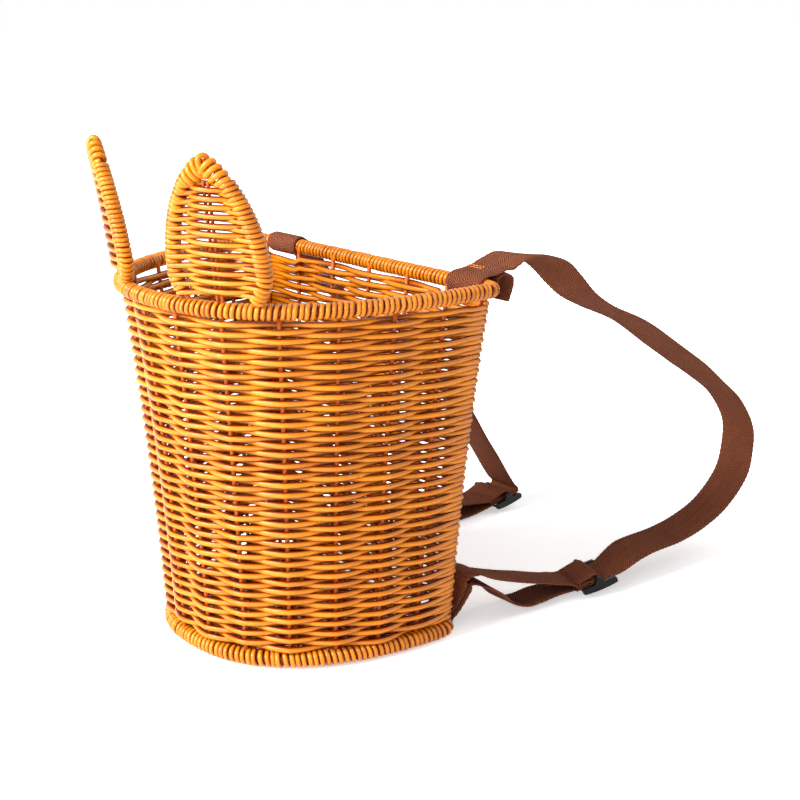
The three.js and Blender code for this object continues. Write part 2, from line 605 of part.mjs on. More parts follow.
// One strap. Its line runs from the seam down to the slider and on to the lower loop.
// On the way down the points are [x from the upper loop, share of the reach, share of the height, roll].
// Below they are [share across, share along, height, roll], with shares from the lower loop to the slider.
function makeStrap(name, side, seam, reach, drop, slider, lowerRun, returnRun) {
  const x = side * upperLoopX;
  const lowX = side * lowerLoopX;
  put(`${name}_upper_loop`, upperLoop(x, seam), webbingMaterial());
  put(`${name}_lower_loop`, lowerLoop(lowX), webbingMaterial());

  const slope = THREE.MathUtils.degToRad(slider.slope);
  const yaw = side * THREE.MathUtils.degToRad(slider.yaw);
  const along = vec(Math.sin(yaw) * Math.cos(slope), Math.cos(yaw) * Math.cos(slope), Math.sin(slope));
  const across = acrossFrom(along, side * slider.roll);
  const normal = across.clone().cross(along);
  const seat = vec(side * (upperLoopX + slider.x), rimBackY + slider.reach * reach, slider.z);
  const low = ([w, far, z, roll = 0]) => [
    lowX + (seat.x - lowX) * w, baseBackY + (seat.y - baseBackY) * far, z, side * roll,
  ];
  const local = (y, z) => seat.clone().addScaledVector(along, y).addScaledVector(normal, z);
  const straight = slider.straight.map((y) => [...local(y, 0).toArray(), -side * slider.roll]);
  const [start, before] = seam.over.map(([y, z]) => vec(x, rimBackY + y, rimZ + z));
  const away = start.clone().sub(before).normalize();
  const route = new Route([
    ...[CUT_GAP, 3].map((d) => start.clone().addScaledVector(away, d).toArray()),
    ...drop.map(([dx, far, z, roll]) => [
      x + side * dx, rimBackY + far * reach, z * BODY_HEIGHT, side * roll,
    ]),
    ...straight,
    ...lowerRun.map(low),
    ...[4, CUT_GAP].map((d) => [lowX, runEnd[0] + runAway[0] * d, runEnd[1] + runAway[1] * d]),
  ]);
  const seatKnot = route.knots[2 + drop.length + slider.straight.indexOf(0)];
  const inSlider = seatKnot - SLIDER_LENGTH / 2 - slider.lead;
  put(`${name}_neck`, webbing(route.stretch(0, NECK_LENGTH, 10)), webbingMaterial());
  put(`${name}_shoulder`, webbing(route.stretch(NECK_LENGTH + CUT_GAP, inSlider, 34)), webbingMaterial());
  put(`${name}_lower_run`, webbing(route.stretch(inSlider + CUT_GAP, route.length, 30)), webbingMaterial());

  const wrap = barRadius + CLEARANCE + half;
  const loopLine = [[-14, middleBarZ + wrap - 1.7], [-6, middleBarZ + wrap - 0.5]];
  [90, 45, 0, -45, -90].forEach((a) => loopLine.push(arcPoint(0, middleBarZ, wrap, a)));
  loopLine.push([-5, middleBarZ - wrap + 0.1], [-13, middleBarZ - wrap + 0.3]);
  const returnLine = [
    ...[CUT_GAP, 2.5].map((d) => [
      lowX, returnStart[0] + returnAway[0] * d, returnStart[1] + returnAway[1] * d,
    ]),
    ...returnRun.map((q) => low(q).slice(0, 3)),
    ...loopLine.map(([y, z]) => [...local(y, z).toArray(), WEBBING_WIDTH, across]),
  ];
  put(`${name}_return`, webbing(mitred(returnLine)), webbingMaterial());

  const mesh = put(name.replace('strap', 'slider'), sliderGeometry(), sliderMaterial());
  mesh.position.copy(seat);
  mesh.quaternion.setFromRotationMatrix(new THREE.Matrix4().makeBasis(across, along, normal));
  console.log(`${name} webbing ${Math.round(route.length)} mm from the seam to the lower loop`);
}

makeStrap(
  'strap_right',
  1,
  raisedSeam,
  RIGHT_STRAP_REACH,
  [
    [-0.1, 0.08, 1.018, -5], [0, 0.126, 1.036, -1], [0.2, 0.174, 1.03, 7], [0.2, 0.226, 1.009, 12],
    [0.3, 0.258, 0.987, 16], [0.4, 0.298, 0.945, 16], [0.5, 0.346, 0.896, 12], [0.7, 0.408, 0.854, 8],
    [0.8, 0.536, 0.787, 7], [0.9, 0.667, 0.69, 9], [0.8, 0.769, 0.614, 9], [0.8, 0.849, 0.549, 3],
    [1, 0.933, 0.473, -1], [1.5, 0.992, 0.369, -4], [2.5, 0.988, 0.293, -4], [3.9, 0.961, 0.224, -3],
    [5.2, 0.874, 0.147, -2], [6.1, 0.776, 0.11, 1], [6.6, 0.686, 0.095, 3], [6.8, 0.541, 0.088, 4],
  ],
  { x: 1.25, reach: 0.416, z: 7, yaw: 21, slope: 15, roll: 7, straight: [11, 0, -11, -16], lead: 1 },
  [
    [0.63, 0.7, 3.4, -6], [0.582, 0.586, 2.4, -6], [0.522, 0.501, 2.8, -3], [0.432, 0.43, 6.2, 2],
    [0.325, 0.35, 14.5, 5], [0.164, 0.265, 20.2, 5],
  ],
  [
    [0.05, 0.158, 28.3], [0.158, 0.227, 27.4], [0.343, 0.293, 24.4], [0.498, 0.463, 18.6],
    [0.594, 0.605, 14.6], [0.654, 0.712, 11.2], [0.677, 0.799, 8.6],
  ],
);
makeStrap(
  'strap_left',
  -1,
  hangingSeam,
  LEFT_STRAP_REACH,
  [
    [-0.4, 0.129, 0.885, 0], [-1.6, 0.201, 0.81, 0], [-4, 0.332, 0.718, 0], [-7, 0.481, 0.615, 0],
    [-9.5, 0.618, 0.5, 0], [-11.5, 0.737, 0.379, 0], [-13, 0.826, 0.256, 0], [-14.2, 0.876, 0.19, 0],
    [-14.8, 0.936, 0.109, 0], [-15.2, 0.965, 0.074, 0], [-15.25, 0.981, 0.061, 0], [-15.25, 0.984, 0.051, 0],
  ],
  { x: -15.25, reach: 0.918, z: 6.8, yaw: 0, slope: 10, roll: 0, straight: [9, 5, 0, -11, -19], lead: 10 },
  [
    [1, 0.815, 2], [1, 0.632, 1.5], [1, 0.45, 2.6], [1, 0.316, 7.6],
    [1, 0.219, 15.6], [1, 0.158, 21.6],
  ],
  [
    [1, 0.102, 28.3], [1, 0.143, 27.2], [1, 0.207, 23.8], [1, 0.359, 18.6],
    [1, 0.571, 14], [1, 0.754, 11], [1, 0.851, 9],
  ],
);

export default bag;
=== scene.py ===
"""A child's basket backpack: woven basket, bound rim and base, two woven ears, webbing straps with sliders.

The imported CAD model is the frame. Its woven and soft solids are replaced here by finer ones of the same
form: 66 rows of weave, wound edges, ears with wrapped outlines, and twill webbing. Metres, +Z up.
"""

import math

import bmesh
import bpy
import numpy as np
from mathutils import Matrix, Vector


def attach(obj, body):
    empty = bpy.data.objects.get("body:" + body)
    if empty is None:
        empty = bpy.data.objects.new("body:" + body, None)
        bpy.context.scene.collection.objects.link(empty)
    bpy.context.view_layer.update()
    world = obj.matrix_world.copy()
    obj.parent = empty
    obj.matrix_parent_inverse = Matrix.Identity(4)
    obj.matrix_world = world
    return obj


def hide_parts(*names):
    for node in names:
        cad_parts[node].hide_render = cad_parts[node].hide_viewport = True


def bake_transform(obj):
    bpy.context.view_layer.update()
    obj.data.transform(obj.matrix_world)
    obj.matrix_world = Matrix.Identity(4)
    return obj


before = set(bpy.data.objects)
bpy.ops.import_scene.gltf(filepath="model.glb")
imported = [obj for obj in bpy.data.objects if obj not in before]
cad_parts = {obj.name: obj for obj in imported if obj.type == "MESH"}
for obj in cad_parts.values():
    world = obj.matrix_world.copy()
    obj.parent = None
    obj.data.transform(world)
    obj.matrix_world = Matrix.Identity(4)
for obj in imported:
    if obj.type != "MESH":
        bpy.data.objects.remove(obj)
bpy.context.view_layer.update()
MM = 0.001

# Basket, outside sizes in millimetres, as in the CAD
RIM_WIDTH, RIM_DEPTH, BODY_HEIGHT = 200, 150, 195
BASE_WIDTH, BASE_DEPTH, BACK_OVERHANG = 160, 121, 10
FRONT_FULLNESS = 2.35
RIM_CORNER, BASE_CORNER = 10, 11
RIM_R, BASE_R = 4.25, 4.5
FRONT_STAKES, BACK_STAKES = 12, 5
STAKE_R = 1.15
STAKE_INSET, WALL_WAIST = 2.7, 1.8

# Weave
WEAVE_ROWS = 66
STRAND_R = 1.62  # where the strand passes a stake; it is thinner between the stakes
STRAND_R_BETWEEN = 1.5
WEAVE_SIDE = 2.2
CORNER_OUTSIDE, CORNER_INSIDE = 0.6, 0.35  # at a back corner all rows pass the stake on its outer side
CORNER_STAKE_IN = 2.2
HOLLOW_SHADE_DEPTH = 0.32  # painted shade: how much deeper the tone is on the side of a strand that is turned to the stakes, where it lies in shade
STEPS_PER_STAKE = 7
WAVE_FLATNESS = 0.85  # 1 is a cosine wave from stake to stake, less is flatter at the stakes
ROW_JITTER = 0.22
CORNER_BOW = 9.0
STRAND_LENGTH = 40  # in stakes, before the next length of cane begins
TONE, TONE_SPREAD = 0.48, 0.14  # a strand's tone, and how much it differs from length to length

# Bound edges
WIND_STEPS = 14
WIND_UNEVEN = 0.28  # how far a turn of a bound edge lies from its even place

# Floor
FLOOR_MIDDLE, FLOOR_WAVE = 3.1, 1.45
FLOOR_STRAND_R, FLOOR_ROW_STEP = 1.38, 2.7
WARP_R, WARP_STEP = 1.1, 12.5

# Ears
EAR_HEIGHT, EAR_WIDTH, EAR_BASE_WIDTH, EAR_WIDEST_AT, EAR_POINTEDNESS = 72, 49, 35, 18, 1.5
EAR_FROM_CENTRE, EAR_LEAN, EAR_TURN, EAR_CURL = 46.5, math.radians(8.3), math.radians(11.8), 0.64
EAR_WIRE_R, EAR_STRAND_R, EAR_PITCH = 1.3, 1.45, 4.7
EAR_FIRST_TURN, EAR_TIP = 3.0, 13
SPINE_R, SPINE_FROM_MIDDLE = 0.85, 1.3
TIP_WRAPS, TIP_REACH = 8, 3.2

# Webbing
WEB_WIDTH, WEB_THICK, LOWER_LOOP_WIDTH = 25, 1.2, 19
SEAM_REACH, TAIL_DROP = 11, 16
SEAM_SHARE = 0.5  # the stitches hold the half of the width that is turned to the middle of the back
RIGHT_REACH, LEFT_REACH = 229.5, 168
CLEARANCE = 0.35

CREASE_SHADE_DEPTH = 0.8  # painted shade: how much deeper the tone of a strand is where it touches the next one, in the shade between them
# painted shade: how narrow the darkened band along each crease is
CREASE_SHADE_NARROWNESS = 4
rng = np.random.default_rng(7)
UP = np.array([0.0, 0.0, 1.0])


def unit(v):
    v = np.asarray(v, float)
    return v / np.maximum(np.linalg.norm(v, axis=-1, keepdims=True), 1e-12)


# Geometry helpers


def make_object(name, verts, faces, material, uv, tone):
    """A smooth mesh object from points in millimetres, with face-corner UVs and a tone for each point, which
    holds painted shade as well as the point's own tone.
    """
    mesh = bpy.data.meshes.new(name)
    mesh.from_pydata((np.asarray(verts) * MM).tolist(), [], [list(map(int, f)) for f in faces])
    layer = mesh.uv_layers.new(name="UVMap")
    layer.data.foreach_set("uv", np.asarray(uv, np.float32).ravel())
    mesh.attributes.new("tone", "FLOAT", "POINT").data.foreach_set("value", np.asarray(tone, np.float32))
    mesh.polygons.foreach_set("use_smooth", [True] * len(mesh.polygons))
    mesh.materials.append(material)
    mesh.validate()
    obj = bpy.data.objects.new(name, mesh)
    bpy.context.scene.collection.objects.link(obj)
    return obj


class Mesh:
    """Collects tubes and other skins, so that many strands become one object."""

    def __init__(self):
        self.verts, self.faces, self.uv, self.tone = [], [], [], []

    def skin(self, rings, closed, tone, along=None):
        """Faces between neighbouring rings, with flat ends unless it is closed."""
        rings = np.asarray(rings)
        count, sides = rings.shape[:2]
        start = len(self.verts)
        self.verts.extend(rings.reshape(-1, 3))
        tone = np.asarray(tone, float)
        self.tone.extend((tone if tone.ndim == 2 else np.repeat(np.broadcast_to(tone, count), sides)).ravel())
        if along is None:
            middles = rings.mean(axis=1)
            along = np.concatenate([[0], np.cumsum(np.linalg.norm(np.diff(middles, axis=0), axis=1))])
        for i in range(count if closed else count - 1):
            a, b = start + i * sides, start + ((i + 1) % count) * sides
            v0, v1 = along[i], along[min(i + 1, count - 1)]
            for j in range(sides):
                k = (j + 1) % sides
                self.faces.append((a + j, a + k, b + k, b + j))
                self.uv += [(j / sides, v0), ((j + 1) / sides, v0), ((j + 1) / sides, v1), (j / sides, v1)]
        if not closed:
            last = start + (count - 1) * sides
            self.faces.append(tuple(start + j for j in reversed(range(sides))))
            self.faces.append(tuple(last + j for j in range(sides)))
            self.uv += [(0, along[0])] * sides + [(0, along[-1])] * sides

    def tube(self, points, radius, sides=8, tone=0.5, closed=False, side=None, shade_crease=None, shade_hollow=None):
        """A round tube.

        Painted shade: its tone is deeper on the sides where it lies against the next strand, which face along
        the direction given for creases, and on the side that faces the direction given for hollows.
        """
        points = np.asarray(points, float)
        if closed:
            tangents = unit(np.roll(points, -1, 0) - np.roll(points, 1, 0))
        else:
            tangents = unit(np.gradient(points, axis=0))
        side = np.array(UP if side is None else side, float)
        if abs(side @ tangents[0]) > 0.95:
            side = np.array([0.0, 1.0, 0.0])
        angles = 2 * np.pi * np.arange(sides) / sides
        cos, sin = np.cos(angles)[:, None], np.sin(angles)[:, None]
        radius = np.broadcast_to(radius, len(points))
        ways = []
        for t in tangents:
            side = unit(side - t * (side @ t))
            ways.append(cos * side + sin * np.cross(t, side))
        ways = np.array(ways)
        # painted shade in the creases where a strand lies against the next one
        if shade_crease is not None:
            shade_facing = np.abs(np.einsum("ijk,ik->ij", ways, np.broadcast_to(shade_crease, points.shape)))
            tone = np.broadcast_to(tone, len(points))[:, None] - CREASE_SHADE_DEPTH * shade_facing**CREASE_SHADE_NARROWNESS
        # painted shade on the side that faces the direction given for hollows
        if shade_hollow is not None:
            tone = tone - HOLLOW_SHADE_DEPTH * np.clip(np.einsum("ijk,ik->ij", ways, shade_hollow), 0, 1)
        self.skin(points[:, None] + radius[:, None, None] * ways, closed, tone)

    def build(self, name, material, body=None):
        obj = make_object(name, self.verts, self.faces, material, self.uv, self.tone)
        if body:
            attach(obj, body)
        return obj


def catmull(points, step):
    """Centripetal Catmull-Rom through the points; also gives each sample's place among the points."""
    p = np.asarray(points, float)
    ends = np.vstack([2 * p[0] - p[1], p, 2 * p[-1] - p[-2]])
    out, place = [], []
    for i in range(len(p) - 1):
        p0, p1, p2, p3 = ends[i : i + 4]
        d0, d1, d2 = (max(np.linalg.norm(b - a) ** 0.5, 1e-4) for a, b in ((p0, p1), (p1, p2), (p2, p3)))
        t1 = (p1 - p0) / d0 - (p2 - p0) / (d0 + d1) + (p2 - p1) / d1
        t2 = (p2 - p1) / d1 - (p3 - p1) / (d1 + d2) + (p3 - p2) / d2
        t1, t2 = t1 * d1, t2 * d1
        count = max(1, int(np.linalg.norm(p2 - p1) / step))
        t = np.arange(count)[:, None] / count
        a = 2 * p1 - 2 * p2 + t1 + t2
        b = -3 * p1 + 3 * p2 - 2 * t1 - t2
        out.append(((a * t + b) * t + t1) * t + p1)
        place.append(i + t[:, 0])
    out.append(p[-1:])
    place.append(np.array([len(p) - 1.0]))
    return np.vstack(out), np.concatenate(place)


class Plan:
    """The basket's plan at one height: flat back, two small corners, bowed front."""

    def __init__(self, width, depth, corner, back):
        half, bow = width / 2, depth - corner
        points = []

        def arc(side, start, end):
            for a in np.radians(np.linspace(start, end, 13)):
                x = side * (half - corner) + corner * math.cos(a)
                points.append((x, back - corner + corner * math.sin(a)))

        def power(v):
            return math.copysign(abs(v) ** (2 / FRONT_FULLNESS), v)

        arc(1, 45, 0)
        for a in np.linspace(0, math.pi, 601)[1:-1]:
            points.append((half * power(math.cos(a)), back - corner - bow * power(math.sin(a))))
        arc(-1, 180, 135)
        left = len(points) - 1
        arc(-1, 135, 90)
        arc(1, 90, 45)
        self.points = np.array(points)
        self.along = np.concatenate([[0], np.cumsum(np.linalg.norm(np.diff(self.points, axis=0), axis=1))])
        self.length, self.front = self.along[-1], self.along[left]
        self.back_length = self.length - self.front

    def at(self, distance, z=0.0):
        d = np.mod(distance, self.length)
        x = np.interp(d, self.along, self.points[:, 0])
        y = np.interp(d, self.along, self.points[:, 1])
        return np.stack([x, y, np.broadcast_to(z, np.shape(x)) + 0.0 * x], -1)

    def normal(self, distance):
        t = unit(self.at(np.asarray(distance) + 0.6) - self.at(np.asarray(distance) - 0.6))
        return np.stack([-t[..., 1], t[..., 0], 0 * t[..., 0]], -1)

    def stake(self, j):
        left = FRONT_STAKES + 1
        if j <= left:
            return self.front * j / left
        return self.front + self.back_length * (j - left) / (BACK_STAKES + 1)


RIM_Z, BASE_Z = BODY_HEIGHT - RIM_R, BASE_R
BASE_BACK = BASE_DEPTH / 2 - BASE_R
RIM_BACK = BASE_DEPTH / 2 + BACK_OVERHANG - RIM_R
rim = Plan(RIM_WIDTH - 2 * RIM_R, RIM_DEPTH - 2 * RIM_R, RIM_CORNER - RIM_R, RIM_BACK)
base = Plan(BASE_WIDTH - 2 * BASE_R, BASE_DEPTH - 2 * BASE_R, BASE_CORNER - BASE_R, BASE_BACK)
STAKES = FRONT_STAKES + BACK_STAKES + 2
CORNER_STAKES = (0, FRONT_STAKES + 1)
feet = np.array([base.at(base.stake(j), BASE_Z) for j in range(STAKES)])
heads = np.array([rim.at(rim.stake(j), RIM_Z) for j in range(STAKES)])
stake_out = unit(np.array([base.normal(base.stake(j)) + rim.normal(rim.stake(j)) for j in range(STAKES)]))


def stake_at(j, z):
    """The middle of stake j at height z."""
    share = ((np.asarray(z, float) - BASE_Z) / (RIM_Z - BASE_Z))[..., None]
    inset = STAKE_INSET * share + 4 * WALL_WAIST * share * (1 - share)
    return feet[j] + (heads[j] - feet[j]) * share - stake_out[j] * inset


# Materials


class Nodes:
    """Short calls for a material's node tree."""

    def __init__(self, name):
        self.material = bpy.data.materials.new(name)
        self.material.use_nodes = True
        self.tree = self.material.node_tree
        self.shader = self.tree.nodes["Principled BSDF"]

    def add(self, kind, **settings):
        node = self.tree.nodes.new(kind)
        for key, value in settings.items():
            setattr(node, key, value)
        return node

    def link(self, source, target):
        self.tree.links.new(source, target)

    def math(self, operation, *values):
        node = self.add("ShaderNodeMath", operation=operation)
        for socket, value in zip(node.inputs, values):
            if isinstance(value, (int, float)):
                socket.default_value = value
            else:
                self.link(value, socket)
        return node.outputs[0]

    def noise(self, vector, scale, detail=3.0, roughness=0.55):
        node = self.add("ShaderNodeTexNoise")
        node.inputs["Scale"].default_value = scale
        node.inputs["Detail"].default_value = detail
        node.inputs["Roughness"].default_value = roughness
        self.link(vector, node.inputs["Vector"])
        return node.outputs["Fac"]

    def ramp(self, fac, stops):
        node = self.add("ShaderNodeValToRGB")
        elements = node.color_ramp.elements
        while len(elements) < len(stops):
            elements.new(0.5)
        for element, (place, colour) in zip(elements, stops):
            element.position = place
            element.color = (*colour, 1)
        self.link(fac, node.inputs["Fac"])
        return node.outputs["Color"]

    def scaled(self, vector, scale):
        node = self.add("ShaderNodeMapping")
        node.inputs["Scale"].default_value = scale
        self.link(vector, node.inputs["Vector"])
        return node.outputs["Vector"]

    def bump(self, height, distance, strength=1.0):
        node = self.add("ShaderNodeBump")
        node.inputs["Distance"].default_value = distance
        node.inputs["Strength"].default_value = strength
        self.link(height, node.inputs["Height"])
        self.link(node.outputs["Normal"], self.shader.inputs["Normal"])


def srgb(*levels):
    """A linear colour from the three levels, 0 to 255, at which it shows on a screen."""
    shares = [level / 255 for level in levels]
    return tuple(c / 12.92 if c <= 0.04045 else ((c + 0.055) / 1.055) ** 2.4 for c in shares)


def cane_material(name, dark, middle, light, roughness):
    """Smooth satin cane: colour changes from strand to strand, painted shade from the tone in creases and
    hollows, faint fibres along it, a few worn spots.
    """
    n = Nodes(name)
    uv = n.add("ShaderNodeTexCoord").outputs["UV"]
    place = n.add("ShaderNodeTexCoord").outputs["Object"]
    # the tone holds each strand's own tone and the painted shade of its creases and hollows, which takes the
    # colour towards dark
    tone = n.add("ShaderNodeAttribute", attribute_name="tone").outputs["Fac"]
    fibres = n.noise(n.scaled(uv, (14, 0.05, 1)), 4.0, 4.0)
    patches = n.noise(place, 55.0, 3.0)
    mixed = n.math("ADD", n.math("MULTIPLY", tone, 0.55), n.math("MULTIPLY", patches, 0.16))
    mixed = n.math("ADD", mixed, n.math("MULTIPLY", fibres, 0.16))
    n.link(n.ramp(mixed, [(0.2, dark), (0.46, middle), (0.74, light)]), n.shader.inputs["Base Color"])
    n.link(n.math("MULTIPLY_ADD", patches, 0.22, roughness - 0.1), n.shader.inputs["Roughness"])
    n.shader.inputs["Specular IOR Level"].default_value = 0.4
    n.shader.inputs["Specular Tint"].default_value = (1.0, 0.9, 0.72, 1)
    n.bump(fibres, 0.00012, 0.5)
    return n.material


def webbing_material(name, dark, middle, light):
    """Herringbone twill: slanting ribs that turn back every few millimetres across the width."""
    turn_back, rib_step, yarn_step = 3.1, 1.5, 0.78
    n = Nodes(name)
    uv = n.add("ShaderNodeTexCoord").outputs["UV"]
    place = n.add("ShaderNodeTexCoord").outputs["Object"]
    split = n.add("ShaderNodeSeparateXYZ")
    n.link(uv, split.inputs[0])
    across, along = split.outputs[0], split.outputs[1]
    zigzag = n.math("PINGPONG", across, turn_back)
    slant = n.math("ADD", along, zigzag)
    ribs = n.math("SINE", n.math("MULTIPLY", slant, 2 * math.pi / rib_step))
    yarns = n.math("SINE", n.math("MULTIPLY", across, 2 * math.pi / yarn_step))
    weave = n.math("ADD", n.math("MULTIPLY", ribs, 0.6), n.math("MULTIPLY", yarns, 0.4))
    lift = n.math("MULTIPLY_ADD", weave, 0.5, 0.5)
    fuzz = n.noise(place, 1400.0, 2.0)
    patches = n.noise(place, 40.0, 2.0)
    mixed = n.math("ADD", n.math("MULTIPLY", lift, 0.7), n.math("MULTIPLY", fuzz, 0.26))
    mixed = n.math("ADD", mixed, n.math("MULTIPLY", patches, 0.14))
    n.link(n.ramp(mixed, [(0.24, dark), (0.54, middle), (0.86, light)]), n.shader.inputs["Base Color"])
    n.shader.inputs["Roughness"].default_value = 0.82
    n.shader.inputs["Specular IOR Level"].default_value = 0.06
    n.shader.inputs["Sheen Weight"].default_value = 0.02
    n.shader.inputs["Sheen Roughness"].default_value = 0.5
    n.shader.inputs["Sheen Tint"].default_value = (1.0, 0.62, 0.42, 1)
    n.bump(n.math("ADD", lift, n.math("MULTIPLY", fuzz, 0.4)), 0.0006, 1.0)
    return n.material


def plastic_material(name, colour, worn):
    """Moulded black plastic: fine grain, rubbed a little lighter in patches."""
    n = Nodes(name)
    place = n.add("ShaderNodeTexCoord").outputs["Object"]
    grain = n.noise(place, 900.0, 2.0)
    rubbed = n.noise(place, 160.0, 4.0)
    n.link(n.ramp(rubbed, [(0.45, colour), (0.75, worn)]), n.shader.inputs["Base Color"])
    n.shader.inputs["Roughness"].default_value = 0.3
    n.shader.inputs["Specular IOR Level"].default_value = 0.22
    n.bump(grain, 0.00008, 0.6)
    return n.material


# cane: its dark colour shows mostly where the tone holds painted shade, in creases and hollows
cane = cane_material("cane_strand", srgb(122, 34, 0), srgb(228, 134, 20), srgb(246, 176, 66), 0.25)
cane_dark = cane_material("cane_stake", srgb(116, 30, 3), srgb(200, 92, 16), srgb(226, 130, 40), 0.4)
web = webbing_material("webbing_twill", srgb(46, 17, 8), srgb(124, 64, 39), srgb(176, 112, 84))
thread = cane_material("stitch_thread", srgb(176, 84, 30), srgb(222, 130, 56), srgb(240, 165, 90), 0.6)
dark_thread = cane_material("hem_thread", srgb(70, 32, 18), srgb(110, 58, 36), srgb(140, 82, 56), 0.6)
plastic = plastic_material("slider_plastic", (0.0015, 0.0015, 0.0016), (0.006, 0.006, 0.0065))

# Stakes: straight canes, a little bowed, ending inside the rim and the base


def make_stakes():
    mesh = Mesh()
    share = np.linspace(0, 1, 13)[:, None]
    for j in range(STAKES):
        line = stake_at(j, np.linspace(BASE_Z, RIM_Z, 13))
        if j in CORNER_STAKES:
            line = line - CORNER_STAKE_IN * stake_out[j]
        bow = 0.35 * rng.standard_normal() * np.sin(np.pi * share)
        mesh.tube(line + bow * np.cross(UP, stake_out[j]), STAKE_R, 10, 0.35 + 0.3 * rng.random())
    stakes = mesh.build("stakes", cane_dark, "basket")
    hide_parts(*[f"stake_{j + 1:02d}" for j in range(STAKES)])


# Wall: one strand, round and up

FIRST_ROW = BASE_Z + BASE_R + 0.75 * STRAND_R
LAST_ROW = RIM_Z - RIM_R - 0.6 * STRAND_R
BESIDE_STAKE = 1.8  # from the middle of a stake to the edge of the loop beside it
UPPER_LOOP_X = stake_at(STAKES - 1, 183.3)[0] + BESIDE_STAKE + WEB_WIDTH / 2
LOWER_LOOP_X = stake_at(STAKES - 1, 12.2)[0] + BESIDE_STAKE + LOWER_LOOP_WIDTH / 2


def beside_loops(points):
    """Rows at the back give way to the strap loops: up over the lower ones, down under the upper ones."""
    up_over, down_under, rows_height, beside = 2.9, 2.6, 16, 5
    x, y, z = np.abs(points[:, 0]), points[:, 1], points[:, 2].copy()
    back = np.clip((y - 45) / 6, 0, 1)
    low = back * np.clip(1.2 - (np.abs(x - LOWER_LOOP_X) - LOWER_LOOP_WIDTH / 2) / beside, 0, 1)
    high = back * np.clip(1.2 - (np.abs(x - UPPER_LOOP_X) - WEB_WIDTH / 2) / beside, 0, 1)
    z += low * up_over * np.clip(1 - (points[:, 2] - FIRST_ROW) / rows_height, 0, 1)
    z -= high * down_under * np.clip(1 - (LAST_ROW - points[:, 2]) / rows_height, 0, 1)
    return np.column_stack([points[:, 0], points[:, 1], z])


def make_wall():
    total = WEAVE_ROWS * STAKES
    steps = np.arange(total * STEPS_PER_STAKE + 1) / STEPS_PER_STAKE
    near = np.minimum(np.floor(steps).astype(int), total - 1)
    share = (steps - near)[:, None]
    z = FIRST_ROW + (LAST_ROW - FIRST_ROW) * steps / total
    jitter = ROW_JITTER * rng.standard_normal(total + 2)
    z = z + jitter[near] * (1 - share[:, 0]) + jitter[near + 1] * share[:, 0]
    a, b = near % STAKES, (near + 1) % STAKES
    chord = stake_at(a, z) * (1 - share) + stake_at(b, z) * share
    out = unit(stake_out[a] * (1 - share) + stake_out[b] * share)
    passing = np.where(np.arange(total + 1) % 2, -1.0, 1.0)
    at_corner = np.isin(np.arange(total + 1) % STAKES, CORNER_STAKES)
    passing[at_corner] = np.where(passing[at_corner] > 0, CORNER_OUTSIDE, CORNER_INSIDE)
    swing = np.cos(np.pi * share[:, 0])
    swing = np.sign(swing) * np.abs(swing) ** WAVE_FLATNESS
    middle, change = (passing[near] + passing[near + 1]) / 2, (passing[near] - passing[near + 1]) / 2
    side = (middle + change * swing)[:, None]
    points = chord + out * side * WEAVE_SIDE
    corner_bow = np.clip(1 - np.sum(stake_out[a] * stake_out[b], axis=1), 0, 1)[:, None]
    points = points + out * corner_bow * CORNER_BOW * (share * (1 - share))
    points = beside_loops(points)
    lengths = rng.random(total // STRAND_LENGTH + 2)
    joins = np.interp(steps, np.arange(len(lengths)) * STRAND_LENGTH, lengths)
    own = lengths[(steps // STRAND_LENGTH).astype(int)]
    tone = TONE + TONE_SPREAD * np.where(steps % STRAND_LENGTH < STRAND_LENGTH - 2, own, joins)
    radius = STRAND_R_BETWEEN + (STRAND_R - STRAND_R_BETWEEN) * np.abs(np.cos(np.pi * share[:, 0]))
    radius = radius * (1 + 0.03 * np.sin(steps * 0.37) + 0.02 * np.sin(steps * 1.9))
    mesh = Mesh()
    # painted shade between the rows and on each strand's side turned to the stakes
    mesh.tube(points, radius, 8, tone, shade_crease=UP, shade_hollow=-out * side)
    wall = mesh.build("wall_weave", cane, "basket")
    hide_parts("wall_weaver")


# Bound edges: a strand wound round the rim and the base, over a core


def wind(mesh, plan, z, radius, turns, strand, seed, way):
    """A strand wound round an edge; way is 1 or -1, the hand of the winding."""
    turn = np.arange(turns * WIND_STEPS + 1) / WIND_STEPS
    distance = plan.length * turn / turns
    noise = np.random.default_rng(seed)
    tones = TONE + TONE_SPREAD * noise.random(turns + 2)
    wobble = WIND_UNEVEN * noise.standard_normal(turns + 2)
    which = np.minimum(turn.astype(int), turns)
    drift = wobble[which] * (1 - turn % 1) + wobble[which + 1] * (turn % 1)
    angle = way * 2 * np.pi * turn
    out = plan.normal(distance)
    reach = radius - strand + 0.3 * drift
    along = unit(plan.at(distance + 0.5) - plan.at(distance - 0.5))
    away = np.cos(angle)[:, None] * out + np.sin(angle)[:, None] * UP
    points = plan.at(distance, z) + reach[:, None] * away + along * drift[:, None]
    tone = tones[which] * (1 - turn % 1) + tones[which + 1] * (turn % 1)
    # painted shade where each turn lies against the next
    mesh.tube(points, strand, 7, tone, shade_crease=along)
    core = plan.at(np.linspace(0, plan.length, 240, endpoint=False), z)
    mesh.tube(core, radius - strand * 1.15, 10, 0.0, closed=True)


def make_bindings():
    for name, plan, z, radius, pitch, strand, way in (
        ("rim_winding", rim, RIM_Z, RIM_R, 2.92, 1.5, -1),
        ("base_winding", base, BASE_Z, BASE_R, 3.1, 1.58, 1),
    ):
        mesh = Mesh()
        wind(mesh, plan, z, radius, round(plan.length / pitch), strand, len(name), way)
        edge = mesh.build(name, cane, "basket")
        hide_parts(name.replace("winding", "binding"))


# Floor: canes across, woven over and under canes from back to front


